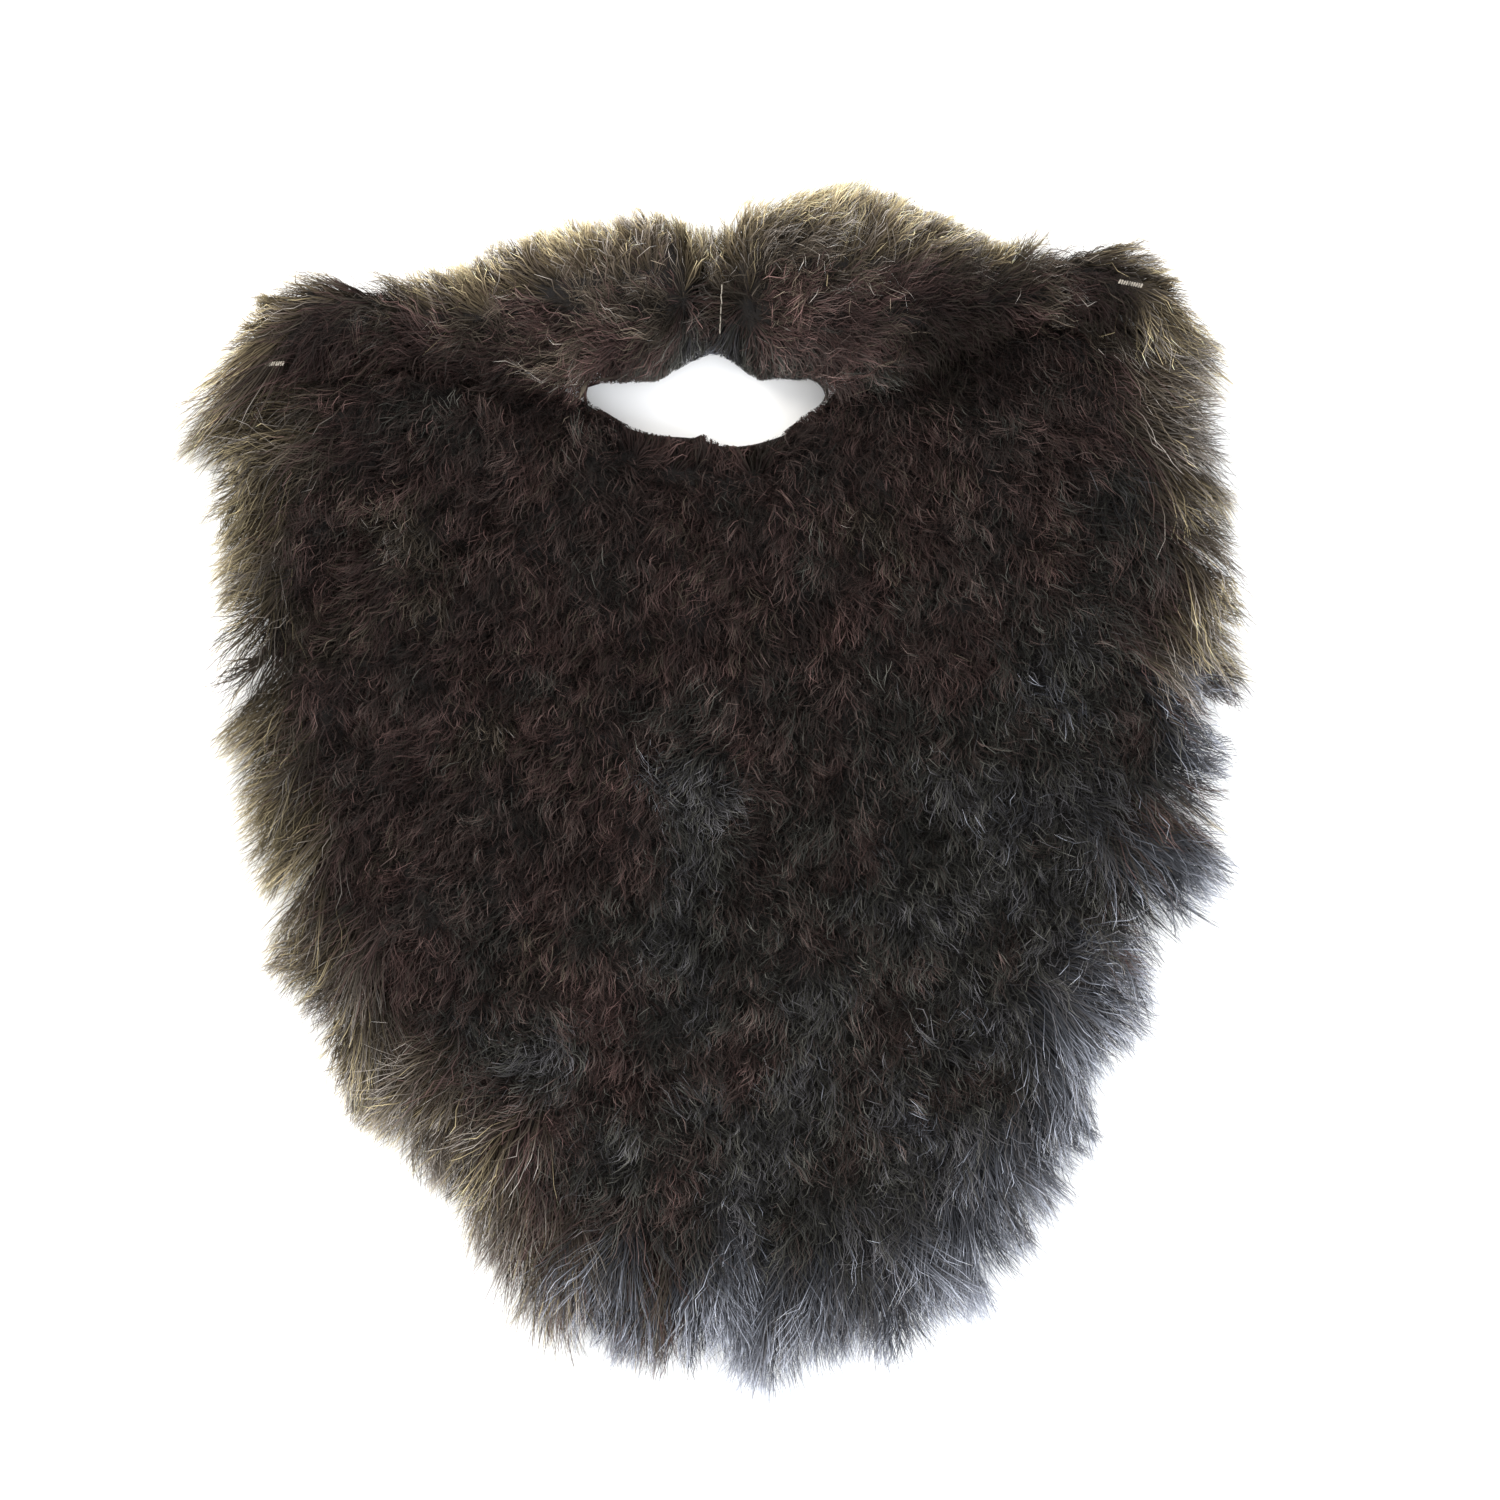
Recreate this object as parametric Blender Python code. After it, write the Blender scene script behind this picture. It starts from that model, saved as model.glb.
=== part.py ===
# A full false beard of deep-pile fur fabric, lying fur side up on its knitted backing.
# X runs across the beard, Y up from the chin to the moustache and Z out of the pile.
# Lengths in the tables are millimetres from the middle of the beard.

import math
import random
from collections import namedtuple

import bmesh
import bpy
from mathutils import Vector
from mathutils.bvhtree import BVHTree

MM = 0.001

BACKING = 1.5
SEAT_GAP = 0.3
LOCK_GAP = 0.5
FUR_BROWN = (0.028, 0.020, 0.017, 1.0)
FUR_GREY_BROWN = (0.046, 0.036, 0.029, 1.0)

# The panel's cut edge, clockwise from the top left corner, and how far the pile hangs past it.
Rim = namedtuple("Rim", "place x y overhang")
PANEL_RIM = [
    Rim("left corner, under the moustache", -101, 116, 0),
    Rim("left seam", -74, 115, 0),
    Rim("left seam end", -52, 110, 0),
    Rim("mouth, left corner", -33, 101.5, 1.5),
    Rim("mouth, left", -24, 91.5, 1.5),
    Rim("mouth, lower left", -13, 86, 1.5),
    Rim("mouth, lower right", 8, 84.5, 1.5),
    Rim("mouth, right", 19, 88, 1.5),
    Rim("mouth, right corner", 28, 101, 1.5),
    Rim("right seam end", 48, 111, 0),
    Rim("right seam", 76, 122, 0),
    Rim("right corner, under the moustache", 101, 122, 0),
    Rim("right cheek, top", 109, 104, 8),
    Rim("right cheek", 110, 74, 9),
    Rim("right cheek, low", 111, 44, 9),
    Rim("right jaw, top", 107, 14, 9),
    Rim("right jaw", 101, -14, 10),
    Rim("right jaw, low", 89, -43, 11),
    Rim("right chin, side", 72, -77, 12),
    Rim("right chin", 46, -106, 13),
    Rim("chin, right", 15, -117, 13),
    Rim("chin, left", -14, -119, 13),
    Rim("left chin", -37, -107, 12),
    Rim("left chin, side", -62, -78, 12),
    Rim("left jaw, low", -82, -48, 11),
    Rim("left jaw", -94, -18, 10),
    Rim("left jaw, top", -102, 14, 9),
    Rim("left cheek, low", -105, 44, 9),
    Rim("left cheek", -108, 76, 9),
    Rim("left cheek, top", -109, 102, 8),
]

# The tips of the locks that hang past the panel's edge, clockwise from the left corner.
Tip = namedtuple("Tip", "x y length turn", defaults=(0,))
RIM_LOCKS = [
    Tip(-137, 83, 37, -22),
    Tip(-130, 57, 36),
    Tip(-128, 35, 36),
    Tip(-127, 11, 36),
    Tip(-119, -3, 34),
    Tip(-117, -22, 36),
    Tip(-114, -49, 42),
    Tip(-103, -67, 36),
    Tip(-97, -85, 40),
    Tip(-83, -95, 36),
    Tip(-70, -108, 36),
    Tip(-61, -121, 38),
    Tip(-51, -133, 38),
    Tip(-42, -149, 44),
    Tip(-24, -144, 38),
    Tip(-7, -151, 40),
    Tip(8, -152, 40),
    Tip(25, -146, 38),
    Tip(44, -150, 42),
    Tip(57, -141, 38),
    Tip(70, -128, 36),
    Tip(82, -109, 36),
    Tip(95, -89, 36),
    Tip(108, -66, 38),
    Tip(122, -38, 38),
    Tip(131, -27, 38),
    Tip(126, -8, 36),
    Tip(131, 9, 36),
    Tip(136, 24, 44),
    Tip(132, 46, 36),
    Tip(129, 64, 36),
    Tip(127, 87, 30, 14),
    Tip(124, 103, 22, 26),
]

# Sections across each half of the moustache, from the middle seam out to the sewn corner.
Section = namedtuple("Section", "x top bottom rise")
MOUSTACHE_LEFT = [
    Section(-1.65, 133, 113, 20),
    Section(-12, 143, 106, 29),
    Section(-24, 140, 103, 32),
    Section(-40, 137, 101, 30),
    Section(-54, 131, 102, 26),
    Section(-67, 126, 105, 21),
    Section(-80, 126, 108, 21),
    Section(-93, 126, 108, 24),
    Section(-104, 125, 106, 22),
    Section(-113, 121, 103, 17),
    Section(-119, 114, 102, 9),
]
MOUSTACHE_RIGHT = [
    Section(-1.35, 133, 113, 20),
    Section(10, 143, 106, 31),
    Section(24, 148, 102, 35),
    Section(38, 148, 102, 34),
    Section(50, 144, 107, 30),
    Section(62, 138, 112, 25),
    Section(74, 134, 117, 21),
    Section(87, 135, 118, 23),
    Section(99, 134, 117, 23),
    Section(109, 131, 115, 19),
    Section(117, 124, 110, 10),
]

# The locks of each half of the moustache: where a row of them starts between the bottom and
# the top edge, the way it points (0 is along the tail, 90 is up) and its length at the lobe.
Fan = namedtuple("Fan", "share heading length")
MOUSTACHE_FANS = [
    Fan(0.80, 66, 17),
    Fan(0.52, 22, 26),
    Fan(0.24, -16, 22),
]

# The clear way through the mouth, which no lock crosses.
MOUTH_LEFT, MOUTH_RIGHT = -22.0, 17.0
MOUTH_LOW, MOUTH_HIGH = 90.0, 101.0

# Rings of the panel from its underside up to the crest: how much of the overhang each one
# takes, its reach from the middle, how far it is up the pile and how much it swells.
Ring = namedtuple("Ring", "overhang reach up swell")
PILE_RINGS = [
    Ring(0.7, 1.0, 0.13, 0.0),
    Ring(1.0, 1.0, 0.30, 0.0),
    Ring(0.75, 1.0, 0.53, 0.3),
    Ring(0.0, 0.985, 0.67, 0.6),
    Ring(0.0, 0.88, 0.83, 1.0),
    Ring(0.0, 0.70, 0.95, 1.0),
    Ring(0.0, 0.48, 1.0, 1.0),
    Ring(0.0, 0.24, 1.0, 1.0),
]
CREST_PILE = 21.0
SWELL = 1.6

# One side of the moustache's cross-section above its backing: across from the bottom edge
# to the middle, and up from the backing to the crest.
Flank = namedtuple("Flank", "across up")
MOUSTACHE_FLANK = [
    Flank(0.05, 0.20),
    Flank(0.0, 0.38),
    Flank(0.07, 0.68),
    Flank(0.24, 0.91),
]
MOUSTACHE_TUCK = 0.16

# A lock's shape along its length: its width at each station as a share of the widest.
Station = namedtuple("Station", "along width")
LOCK_STATIONS = [
    Station(0.0, 0.75),
    Station(0.38, 1.0),
    Station(0.74, 0.62),
    Station(1.0, 0.0),
]
LOCK_SIDES = 5
LOCK_THICKNESS = 0.52
LOCK_SWAY = 0.12
LOCK_BOW = 2.5
LOCK_ROOT_DEPTH = 5.0
LOCK_SINK = 0.5
LOWEST_HAIR = 1.2

RIM_LOCK_WIDTH = 20.0
RIM_LOCK_LENGTH = 38.0
SHORT_LOCK_WIDTH = 11.0
SHORT_LOCK_LENGTH = 24.0
SHORT_ROWS_ABOVE = 82.0
SHORT_ROW_INSET = 0.88
SHORT_LOCK_SPREAD = 25.0
PANEL_LOCK_WIDTH = 17.0
PANEL_LOCK_LENGTH = 41.0
PANEL_LOCK_PITCH = 22.0
PANEL_LOCK_JITTER = 3.0
PANEL_LOCK_SPREAD = 20.0
PANEL_TIP_LIFT = 5.0
PANEL_TIP_HEIGHT = 4.5
MOUSTACHE_LOCK_WIDTH = 11.0
MOUSTACHE_LOCK_PITCH = 13.0
MOUSTACHE_LOCK_SPREAD = 12.0
MOUSTACHE_TIP_LIFT = 2.0
MOUSTACHE_TIP_HEIGHT = 14.0
RAY_STEP = 0.001
SHORTEST_EDGE = 0.0005


def clear_scene():
    for item in list(bpy.data.objects):
        bpy.data.objects.remove(item, do_unlink=True)


def fur_material(name, colour):
    material = bpy.data.materials.new(name)
    material.use_nodes = True
    shader = material.node_tree.nodes["Principled BSDF"]
    shader.inputs["Base Color"].default_value = colour
    shader.inputs["Roughness"].default_value = 0.75
    shader.inputs["Metallic"].default_value = 0.0
    return material


def smooth_loop(rows, steps):
    """A closed Catmull-Rom curve through rows of numbers, with a few points for each row."""
    points = []
    count = len(rows)
    for i in range(count):
        a, b, c, d = (Vector(rows[(i + k) % count]) for k in (-1, 0, 1, 2))
        for step in range(steps):
            t = step / steps
            points.append(
                0.5 * (2 * b + (c - a) * t + (2 * a - 5 * b + 4 * c - d) * t * t
                       + (3 * b - a - 3 * c + d) * t ** 3)
            )
    return points


def loft(rings, close_start=True, close_end=True):
    """A closed mesh through rings of points, its two ends closed flat."""
    shape = bmesh.new()
    rows = [[shape.verts.new(Vector(p) * MM) for p in ring] for ring in rings]
    for low, high in zip(rows, rows[1:]):
        sides = max(len(low), len(high))
        for i in range(sides):
            k = (i + 1) % sides
            if len(high) == 1:
                shape.faces.new((low[i], low[k], high[0]))
            else:
                shape.faces.new((low[i], low[k], high[k], high[i]))
    if close_start:
        shape.faces.new(rows[0][::-1])
    if close_end:
        shape.faces.new(rows[-1])
    bmesh.ops.recalc_face_normals(shape, faces=shape.faces)
    bmesh.ops.triangulate(shape, faces=shape.faces)
    return shape


def to_object(name, shape, collection=None):
    mesh = bpy.data.meshes.new(name)
    shape.to_mesh(mesh)
    shape.free()
    item = bpy.data.objects.new(name, mesh)
    (collection or bpy.context.scene.collection).objects.link(item)
    return item


def surface_of(item):
    """A function that gives the height of the mesh's top over a point, or None beside it."""
    tree = BVHTree.FromObject(item, bpy.context.evaluated_depsgraph_get())

    def height(x, y):
        hit = tree.ray_cast(Vector((x * MM, y * MM, 1.0)), Vector((0, 0, -1)))
        return hit[0].z / MM if hit[0] else None

    return height, tree


def pile_swell(x, y):
    """The pile's gentle swells: clumps of hair about 30 mm across."""
    along = math.sin(x / 9.5 + 0.8 * math.sin(y / 17))
    down = math.cos(y / 11 - 0.5 * math.sin(x / 21))
    return SWELL * along * down


def panel_body():
    """The backing with its flat underside, and the pile's own bulk over it and past its edge."""
    rim = smooth_loop([(r.x, r.y, r.overhang) for r in PANEL_RIM], 2)
    rings = [[(p.x, p.y, z) for p in rim] for z in (0.0, BACKING)]
    for row in PILE_RINGS:
        ring = []
        for p in rim:
            edge = Vector((p.x, p.y))
            spot = edge * row.reach + edge.normalized() * max(p.z, 0.0) * row.overhang
            swell = pile_swell(spot.x, spot.y) * row.swell
            ring.append((spot.x, spot.y, CREST_PILE * row.up + swell))
        rings.append(ring)
    rings.append([(0, 0, CREST_PILE)])
    return loft(rings, close_end=False)


def moustache_strip(sections, grow=0.0):
    """Half of the moustache: its own backing strip under a lobe of pile, flat underneath."""
    base = BACKING + SEAT_GAP - grow
    way = 1 if sections[-1].x > sections[0].x else -1
    rings = []
    for row in sections:
        x = row.x
        if row is sections[0]:
            x -= way * grow
        if row is sections[-1]:
            x += way * grow
        top, low, rise = row.top + grow, row.bottom - grow, row.rise + grow
        wide = top - low
        half = [(MOUSTACHE_TUCK * wide, 0.0), (MOUSTACHE_TUCK * wide, BACKING)]
        half += [(f.across * wide, f.up * rise) for f in MOUSTACHE_FLANK]
        ring = [(x, low + across, base + up) for across, up in half]
        ring.append((x, (low + top) / 2, base + rise))
        ring += [(x, top - across, base + up) for across, up in reversed(half)]
        rings.append(ring)
    return loft(rings)


def lock(root, tip, height_at, width, rng, lift=PANEL_TIP_LIFT, rest=PANEL_TIP_HEIGHT):
    """A tapered lock of hair that leaves the pile at its root and lies along it to its tip."""
    root, tip = Vector(root), Vector(tip)
    start, end = height_at(*root), height_at(*tip)
    if start is None:
        return None
    first = start - LOCK_ROOT_DEPTH
    last = rest * rng.uniform(0.8, 1.2) if end is None else end + lift
    run = tip - root
    across = Vector((-run.y, run.x)).normalized()
    sway = across * run.length * rng.choice((-LOCK_SWAY, LOCK_SWAY))
    rings = []
    for along, share in LOCK_STATIONS:
        bow = 4 * along * (1 - along)
        spot = root + run * along + sway * bow
        half = 0.5 * width * share
        thick = half * LOCK_THICKNESS
        z = first + (last - first) * along + LOCK_BOW * bow
        over = height_at(*spot)
        if over is not None and 0 < along < 1:
            z = max(z, over - LOCK_SINK)
        z = max(z, LOWEST_HAIR + thick)
        ring = []
        for k in range(LOCK_SIDES if share else 1):
            turn = 2 * math.pi * (k + 0.25) / LOCK_SIDES
            beside = spot + across * half * math.cos(turn)
            ring.append((beside.x, beside.y, z + thick * math.sin(turn)))
        rings.append(ring)
    return loft(rings, close_end=False)


def flow_heading(x, y):
    """The way the beard's hair lies, in degrees: down at the chin and outward at the cheeks."""
    cheek = min(max((y - 50) / 50, 0), 1)
    return 270 + (0.28 + 0.08 * cheek) * x


def heading_vector(degrees):
    turn = math.radians(degrees)
    return Vector((math.cos(turn), math.sin(turn)))


def crosses_mouth(shape):
    spots = [v.co / MM for v in shape.verts]
    return (
        max(p.x for p in spots) > MOUTH_LEFT
        and min(p.x for p in spots) < MOUTH_RIGHT
        and max(p.y for p in spots) > MOUTH_LOW
        and min(p.y for p in spots) < MOUTH_HIGH
    )


def lies_inside(tree, spot):
    """True if a ray from the point leaves the closed mesh an odd number of times."""
    way = Vector((0.31, 0.17, 0.93)).normalized()
    crossings = 0
    hit = tree.ray_cast(spot, way)
    while hit[0] is not None:
        crossings += 1
        hit = tree.ray_cast(hit[0] + way * RAY_STEP * MM, way)
    return crossings % 2 == 1


def keeps_clear(shape, trees, gap):
    """True if the lock's points and edge middles all lie outside the other pieces by the gap."""
    spots = [v.co for v in shape.verts]
    spots += [(e.verts[0].co + e.verts[1].co) / 2 for e in shape.edges]
    spots += [f.calc_center_median() for f in shape.faces]
    for tree in trees:
        for spot in spots:
            if tree.find_nearest(spot)[3] < gap * MM or lies_inside(tree, spot):
                return False
    return True


def add_lock(shape, name, holder):
    return to_object(f"{name}_lock_{len(holder.objects):03d}", shape, holder)


def panel_locks(panel, strips):
    """Rim locks from the table, a short row under the mouth, and shingled rows over the panel."""
    rng = random.Random(11)
    holder = bpy.data.collections.new("panel locks")
    bpy.context.scene.collection.children.link(holder)
    height_at, _ = surface_of(panel)
    trees = [surface_of(strip)[1] for strip in strips]

    def try_lock(root, tip, width):
        shape = lock(root, tip, height_at, width, rng)
        if shape and not crosses_mouth(shape) and keeps_clear(shape, trees, LOCK_GAP):
            add_lock(shape, "panel", holder)

    for row in RIM_LOCKS:
        tip = Vector((row.x, row.y))
        way = heading_vector(flow_heading(row.x, row.y) + row.turn)
        width = RIM_LOCK_WIDTH * min(1.0, row.length / RIM_LOCK_LENGTH)
        try_lock(tip - way * row.length, tip, width)
    upper = smooth_loop([(r.x, r.y) for r in PANEL_RIM], 2)
    for spot in [p for p in upper if p.y > SHORT_ROWS_ABOVE]:
        root = spot * SHORT_ROW_INSET
        spread = rng.uniform(-SHORT_LOCK_SPREAD, SHORT_LOCK_SPREAD)
        heading = flow_heading(root.x, root.y) + spread
        try_lock(root, root + heading_vector(heading) * SHORT_LOCK_LENGTH, SHORT_LOCK_WIDTH)
    rows = int(max(abs(r.y) for r in PANEL_RIM) / PANEL_LOCK_PITCH) + 1
    for row in range(-rows, rows):
        for column in range(-rows, rows + 1):
            x = (column + 0.5 * (row % 2)) * PANEL_LOCK_PITCH
            x += rng.uniform(-PANEL_LOCK_JITTER, PANEL_LOCK_JITTER)
            y = row * PANEL_LOCK_PITCH * 0.9
            y += rng.uniform(-PANEL_LOCK_JITTER, PANEL_LOCK_JITTER)
            spread = rng.uniform(-PANEL_LOCK_SPREAD, PANEL_LOCK_SPREAD)
            way = heading_vector(flow_heading(x, y) + spread)
            tip = Vector((x, y)) + way * PANEL_LOCK_LENGTH * rng.uniform(0.8, 1.1)
            if height_at(x, y) is None or height_at(*tip) is None:
                continue
            try_lock((x, y), tip, PANEL_LOCK_WIDTH * rng.uniform(0.85, 1.1))
    return holder


def section_at(sections, x):
    for a, b in zip(sections, sections[1:]):
        if min(a.x, b.x) <= x <= max(a.x, b.x):
            t = (x - a.x) / (b.x - a.x)
            return a.top + (b.top - a.top) * t, a.bottom + (b.bottom - a.bottom) * t
    return None


def moustache_locks(strip, sections, panel):
    """Locks that fan up and out from the middle of each lobe and lie along its tail."""
    rng = random.Random(5)
    holder = bpy.data.collections.new(strip.name + " locks")
    bpy.context.scene.collection.children.link(holder)
    height_at, _ = surface_of(strip)
    _, panel_tree = surface_of(panel)
    way = 1 if sections[-1].x > sections[0].x else -1
    seam = sections[0].x
    widest = max(row.top - row.bottom for row in sections)
    steps = int(abs(sections[-1].x - seam) / MOUSTACHE_LOCK_PITCH)
    for fan in MOUSTACHE_FANS:
        for step in range(steps + 1):
            x = seam + way * (5 + step * MOUSTACHE_LOCK_PITCH + rng.uniform(-2, 2))
            edge = section_at(sections, x)
            if edge is None:
                continue
            top, low = edge
            root = Vector((x, low + (top - low) * fan.share))
            turn = fan.heading * (1 - 0.4 * step / steps)
            turn += rng.uniform(-MOUSTACHE_LOCK_SPREAD, MOUSTACHE_LOCK_SPREAD)
            size = rng.uniform(0.9, 1.1) * (0.5 + 0.5 * (top - low) / widest)
            tip = root + heading_vector(turn if way > 0 else 180 - turn) * fan.length * size
            width = MOUSTACHE_LOCK_WIDTH * size
            rest = MOUSTACHE_TIP_HEIGHT * size
            shape = lock(root, tip, height_at, width, rng, MOUSTACHE_TIP_LIFT, rest)
            if shape is None or crosses_mouth(shape):
                continue
            beside = all((v.co.x / MM - seam) * way > 0 for v in shape.verts)
            if beside and keeps_clear(shape, [panel_tree], LOCK_GAP):
                add_lock(shape, strip.name, holder)
    return holder


def outer_shell(mesh):
    """Keeps the shell that holds the whole, and drops pockets closed in between locks."""
    shape = bmesh.new()
    shape.from_mesh(mesh)
    bmesh.ops.triangulate(shape, faces=shape.faces)
    bmesh.ops.dissolve_degenerate(shape, edges=shape.edges, dist=SHORTEST_EDGE * MM)
    left = set(shape.faces)
    shells = []
    while left:
        stack = [left.pop()]
        shell = list(stack)
        while stack:
            for edge in stack.pop().edges:
                for face in edge.link_faces:
                    if face in left:
                        left.remove(face)
                        stack.append(face)
                        shell.append(face)
        shells.append(shell)
    shells.sort(key=len)
    spare = [face for shell in shells[:-1] for face in shell]
    bmesh.ops.delete(shape, geom=spare, context="FACES")
    shape.to_mesh(mesh)
    shape.free()


def apply_boolean(item, operation, other):
    """Joins or cuts the object with another object or with a collection of them."""
    modifier = item.modifiers.new("fuse", "BOOLEAN")
    modifier.operation = operation
    modifier.solver = "EXACT"
    if isinstance(other, bpy.types.Collection):
        modifier.operand_type = "COLLECTION"
        modifier.collection = other
    else:
        modifier.object = other
    evaluated = item.evaluated_get(bpy.context.evaluated_depsgraph_get())
    mesh = bpy.data.meshes.new_from_object(evaluated)
    item.modifiers.clear()
    item.data = mesh
    return item


def fuse_locks(item, holder):
    apply_boolean(item, "UNION", holder)
    for piece in list(holder.objects):
        bpy.data.objects.remove(piece, do_unlink=True)
    bpy.data.collections.remove(holder)
    outer_shell(item.data)


def finish(item, material):
    item.data.name = item.name
    item.data.materials.clear()
    item.data.materials.append(material)


clear_scene()
strips = {
    "moustache_left": MOUSTACHE_LEFT,
    "moustache_right": MOUSTACHE_RIGHT,
}
panel = to_object("beard_panel", panel_body())
halves = []
for name, sections in strips.items():
    cutter = to_object(name + "_clearance", moustache_strip(sections, SEAT_GAP))
    apply_boolean(panel, "DIFFERENCE", cutter)
    bpy.data.objects.remove(cutter, do_unlink=True)
    halves.append(to_object(name, moustache_strip(sections)))
outer_shell(panel.data)
fuse_locks(panel, panel_locks(panel, halves))
for half in halves:
    fuse_locks(half, moustache_locks(half, strips[half.name], panel))
    finish(half, fur_material(half.name + "_fur", FUR_GREY_BROWN))
finish(panel, fur_material("beard_fur", FUR_BROWN))
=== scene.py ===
# A full false beard of dark deep-pile fur fabric with its sewn-on moustache, lying fur side up.
import math
from collections import namedtuple

import bmesh
import bpy
import numpy as np
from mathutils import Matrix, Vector, noise
from mathutils.bvhtree import BVHTree


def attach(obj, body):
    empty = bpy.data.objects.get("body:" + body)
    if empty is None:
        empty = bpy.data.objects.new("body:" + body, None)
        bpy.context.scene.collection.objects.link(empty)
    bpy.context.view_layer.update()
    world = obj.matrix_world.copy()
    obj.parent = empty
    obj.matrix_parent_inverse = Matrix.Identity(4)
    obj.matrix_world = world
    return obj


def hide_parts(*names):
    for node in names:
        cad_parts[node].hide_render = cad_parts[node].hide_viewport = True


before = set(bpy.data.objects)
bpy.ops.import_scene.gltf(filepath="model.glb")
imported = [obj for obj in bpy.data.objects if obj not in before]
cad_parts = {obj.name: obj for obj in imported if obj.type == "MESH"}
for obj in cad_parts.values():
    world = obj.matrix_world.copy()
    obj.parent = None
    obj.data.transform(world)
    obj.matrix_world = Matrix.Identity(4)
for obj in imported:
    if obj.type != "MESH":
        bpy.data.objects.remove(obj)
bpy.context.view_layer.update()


# The white table that the beard lies on, seen from straight above. Wide soft lights, a little
# warm at the upper left and cool at the lower right, burn the table out to plain white.
MM = 0.001
CAMERA_OVER = (8.25, 10.75)
CAMERA_HEIGHT = 1512.0
FRAME_WIDTH = 375.0
FRAME_PLANE = 12.0
SENSOR = 36.0
CLIP_END = 20.0
TABLE_SIZE = 5.0
TABLE_WHITE = 0.95
SKY_STRENGTH = 2.0

camera = bpy.data.objects.new("camera", bpy.data.cameras.new("camera"))
camera.data.sensor_width = SENSOR
camera.data.lens = SENSOR * (CAMERA_HEIGHT - FRAME_PLANE) / FRAME_WIDTH
camera.data.clip_end = CLIP_END
camera.location = (CAMERA_OVER[0] * MM, CAMERA_OVER[1] * MM, CAMERA_HEIGHT * MM)
bpy.context.collection.objects.link(camera)
bpy.context.scene.camera = camera
bpy.context.scene.view_settings.view_transform = "Standard"


class Wire:
    """An output socket in a node tree. Plain arithmetic on it adds Math or Vector Math nodes."""

    def __init__(self, nodes, socket):
        self.nodes = nodes
        self.socket = socket

    def is_vector(self):
        return self.socket.type in {"VECTOR", "RGBA"}

    def output(self, key):
        return Wire(self.nodes, self.socket.node.outputs[key])

    def math(self, operation, *others):
        inputs = dict(enumerate((self, *others)))
        return self.nodes.add("ShaderNodeMath", {"operation": operation}, inputs)

    def vector(self, operation, *others):
        inputs = dict(enumerate((self, *others)))
        return self.nodes.add("ShaderNodeVectorMath", {"operation": operation}, inputs)

    def scaled(self, factor):
        settings = {"operation": "SCALE"}
        return self.nodes.add("ShaderNodeVectorMath", settings, {0: self, "Scale": factor})

    def joined(self, operation, first, second):
        kinds = [w.is_vector() if isinstance(w, Wire) else isinstance(w, tuple) for w in (first, second)]
        kind = "ShaderNodeVectorMath" if any(kinds) else "ShaderNodeMath"
        return self.nodes.add(kind, {"operation": operation}, {0: first, 1: second})

    def __add__(self, other):
        return self.joined("ADD", self, other)

    def __radd__(self, other):
        return self.joined("ADD", other, self)

    def __sub__(self, other):
        return self.joined("SUBTRACT", self, other)

    def __rsub__(self, other):
        return self.joined("SUBTRACT", other, self)

    def __mul__(self, other):
        other_vector = other.is_vector() if isinstance(other, Wire) else isinstance(other, tuple)
        if self.is_vector() and not other_vector:
            return self.scaled(other)
        if other_vector and not self.is_vector():
            return other.scaled(self)
        return self.joined("MULTIPLY", self, other)

    def __rmul__(self, other):
        return self * other

    def __truediv__(self, other):
        return self.joined("DIVIDE", self, other)

    def __rtruediv__(self, other):
        return self.joined("DIVIDE", other, self)

    def __pow__(self, other):
        return self.math("POWER", other)


class Nodes:
    """A node tree being wired. add() makes one node and hands back one of its outputs."""

    def __init__(self, tree):
        self.tree = tree

    def add(self, kind, settings=None, inputs=None, output=0):
        node = self.tree.nodes.new(kind)
        for name, value in (settings or {}).items():
            setattr(node, name, value)
        for key, value in (inputs or {}).items():
            if isinstance(value, Wire):
                self.tree.links.new(value.socket, node.inputs[key])
            else:
                node.inputs[key].default_value = value
        return Wire(self, node.outputs[output]) if node.outputs else None


def new_material(name, **plain):
    """A Principled material, with the values that are the same all over set on its sockets."""
    material = bpy.data.materials.new(name)
    material.use_nodes = True
    shader = material.node_tree.nodes["Principled BSDF"]
    for socket, value in plain.items():
        shader.inputs[socket.replace("_", " ")].default_value = value
    return material, shader, Nodes(material.node_tree)


def ramp(nodes, value, stops):
    """A colour ramp through the given (place, colour) stops."""
    out = nodes.add("ShaderNodeValToRGB", None, {"Fac": value})
    points = out.socket.node.color_ramp.elements
    for i, (place, colour) in enumerate(stops):
        point = points[i] if i < 2 else points.new(place)
        point.position = place
        point.color = (*colour, 1.0)
    return out


def new_piece(name, mesh, *materials):
    piece = bpy.data.objects.new(name, mesh)
    bpy.context.collection.objects.link(piece)
    if materials:
        mesh.materials.clear()
    for material in materials:
        mesh.materials.append(material)
    return piece


table_finish, table_shader, nodes = new_material("white_table", Roughness=0.8)
table_shader.inputs["Base Color"].default_value = (TABLE_WHITE, TABLE_WHITE, TABLE_WHITE, 1.0)
table_mesh = bpy.data.meshes.new("table")
half = TABLE_SIZE / 2
corners = [(-half, -half, 0), (half, -half, 0), (half, half, 0), (-half, half, 0)]
table_mesh.from_pydata(corners, [], [(0, 1, 2, 3)])
table = new_piece("table", table_mesh, table_finish)

world = bpy.data.worlds.new("studio")
world.use_nodes = True
world.node_tree.nodes["Background"].inputs["Color"].default_value = (1.0, 1.0, 1.0, 1.0)
world.node_tree.nodes["Background"].inputs["Strength"].default_value = SKY_STRENGTH
bpy.context.scene.world = world

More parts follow.
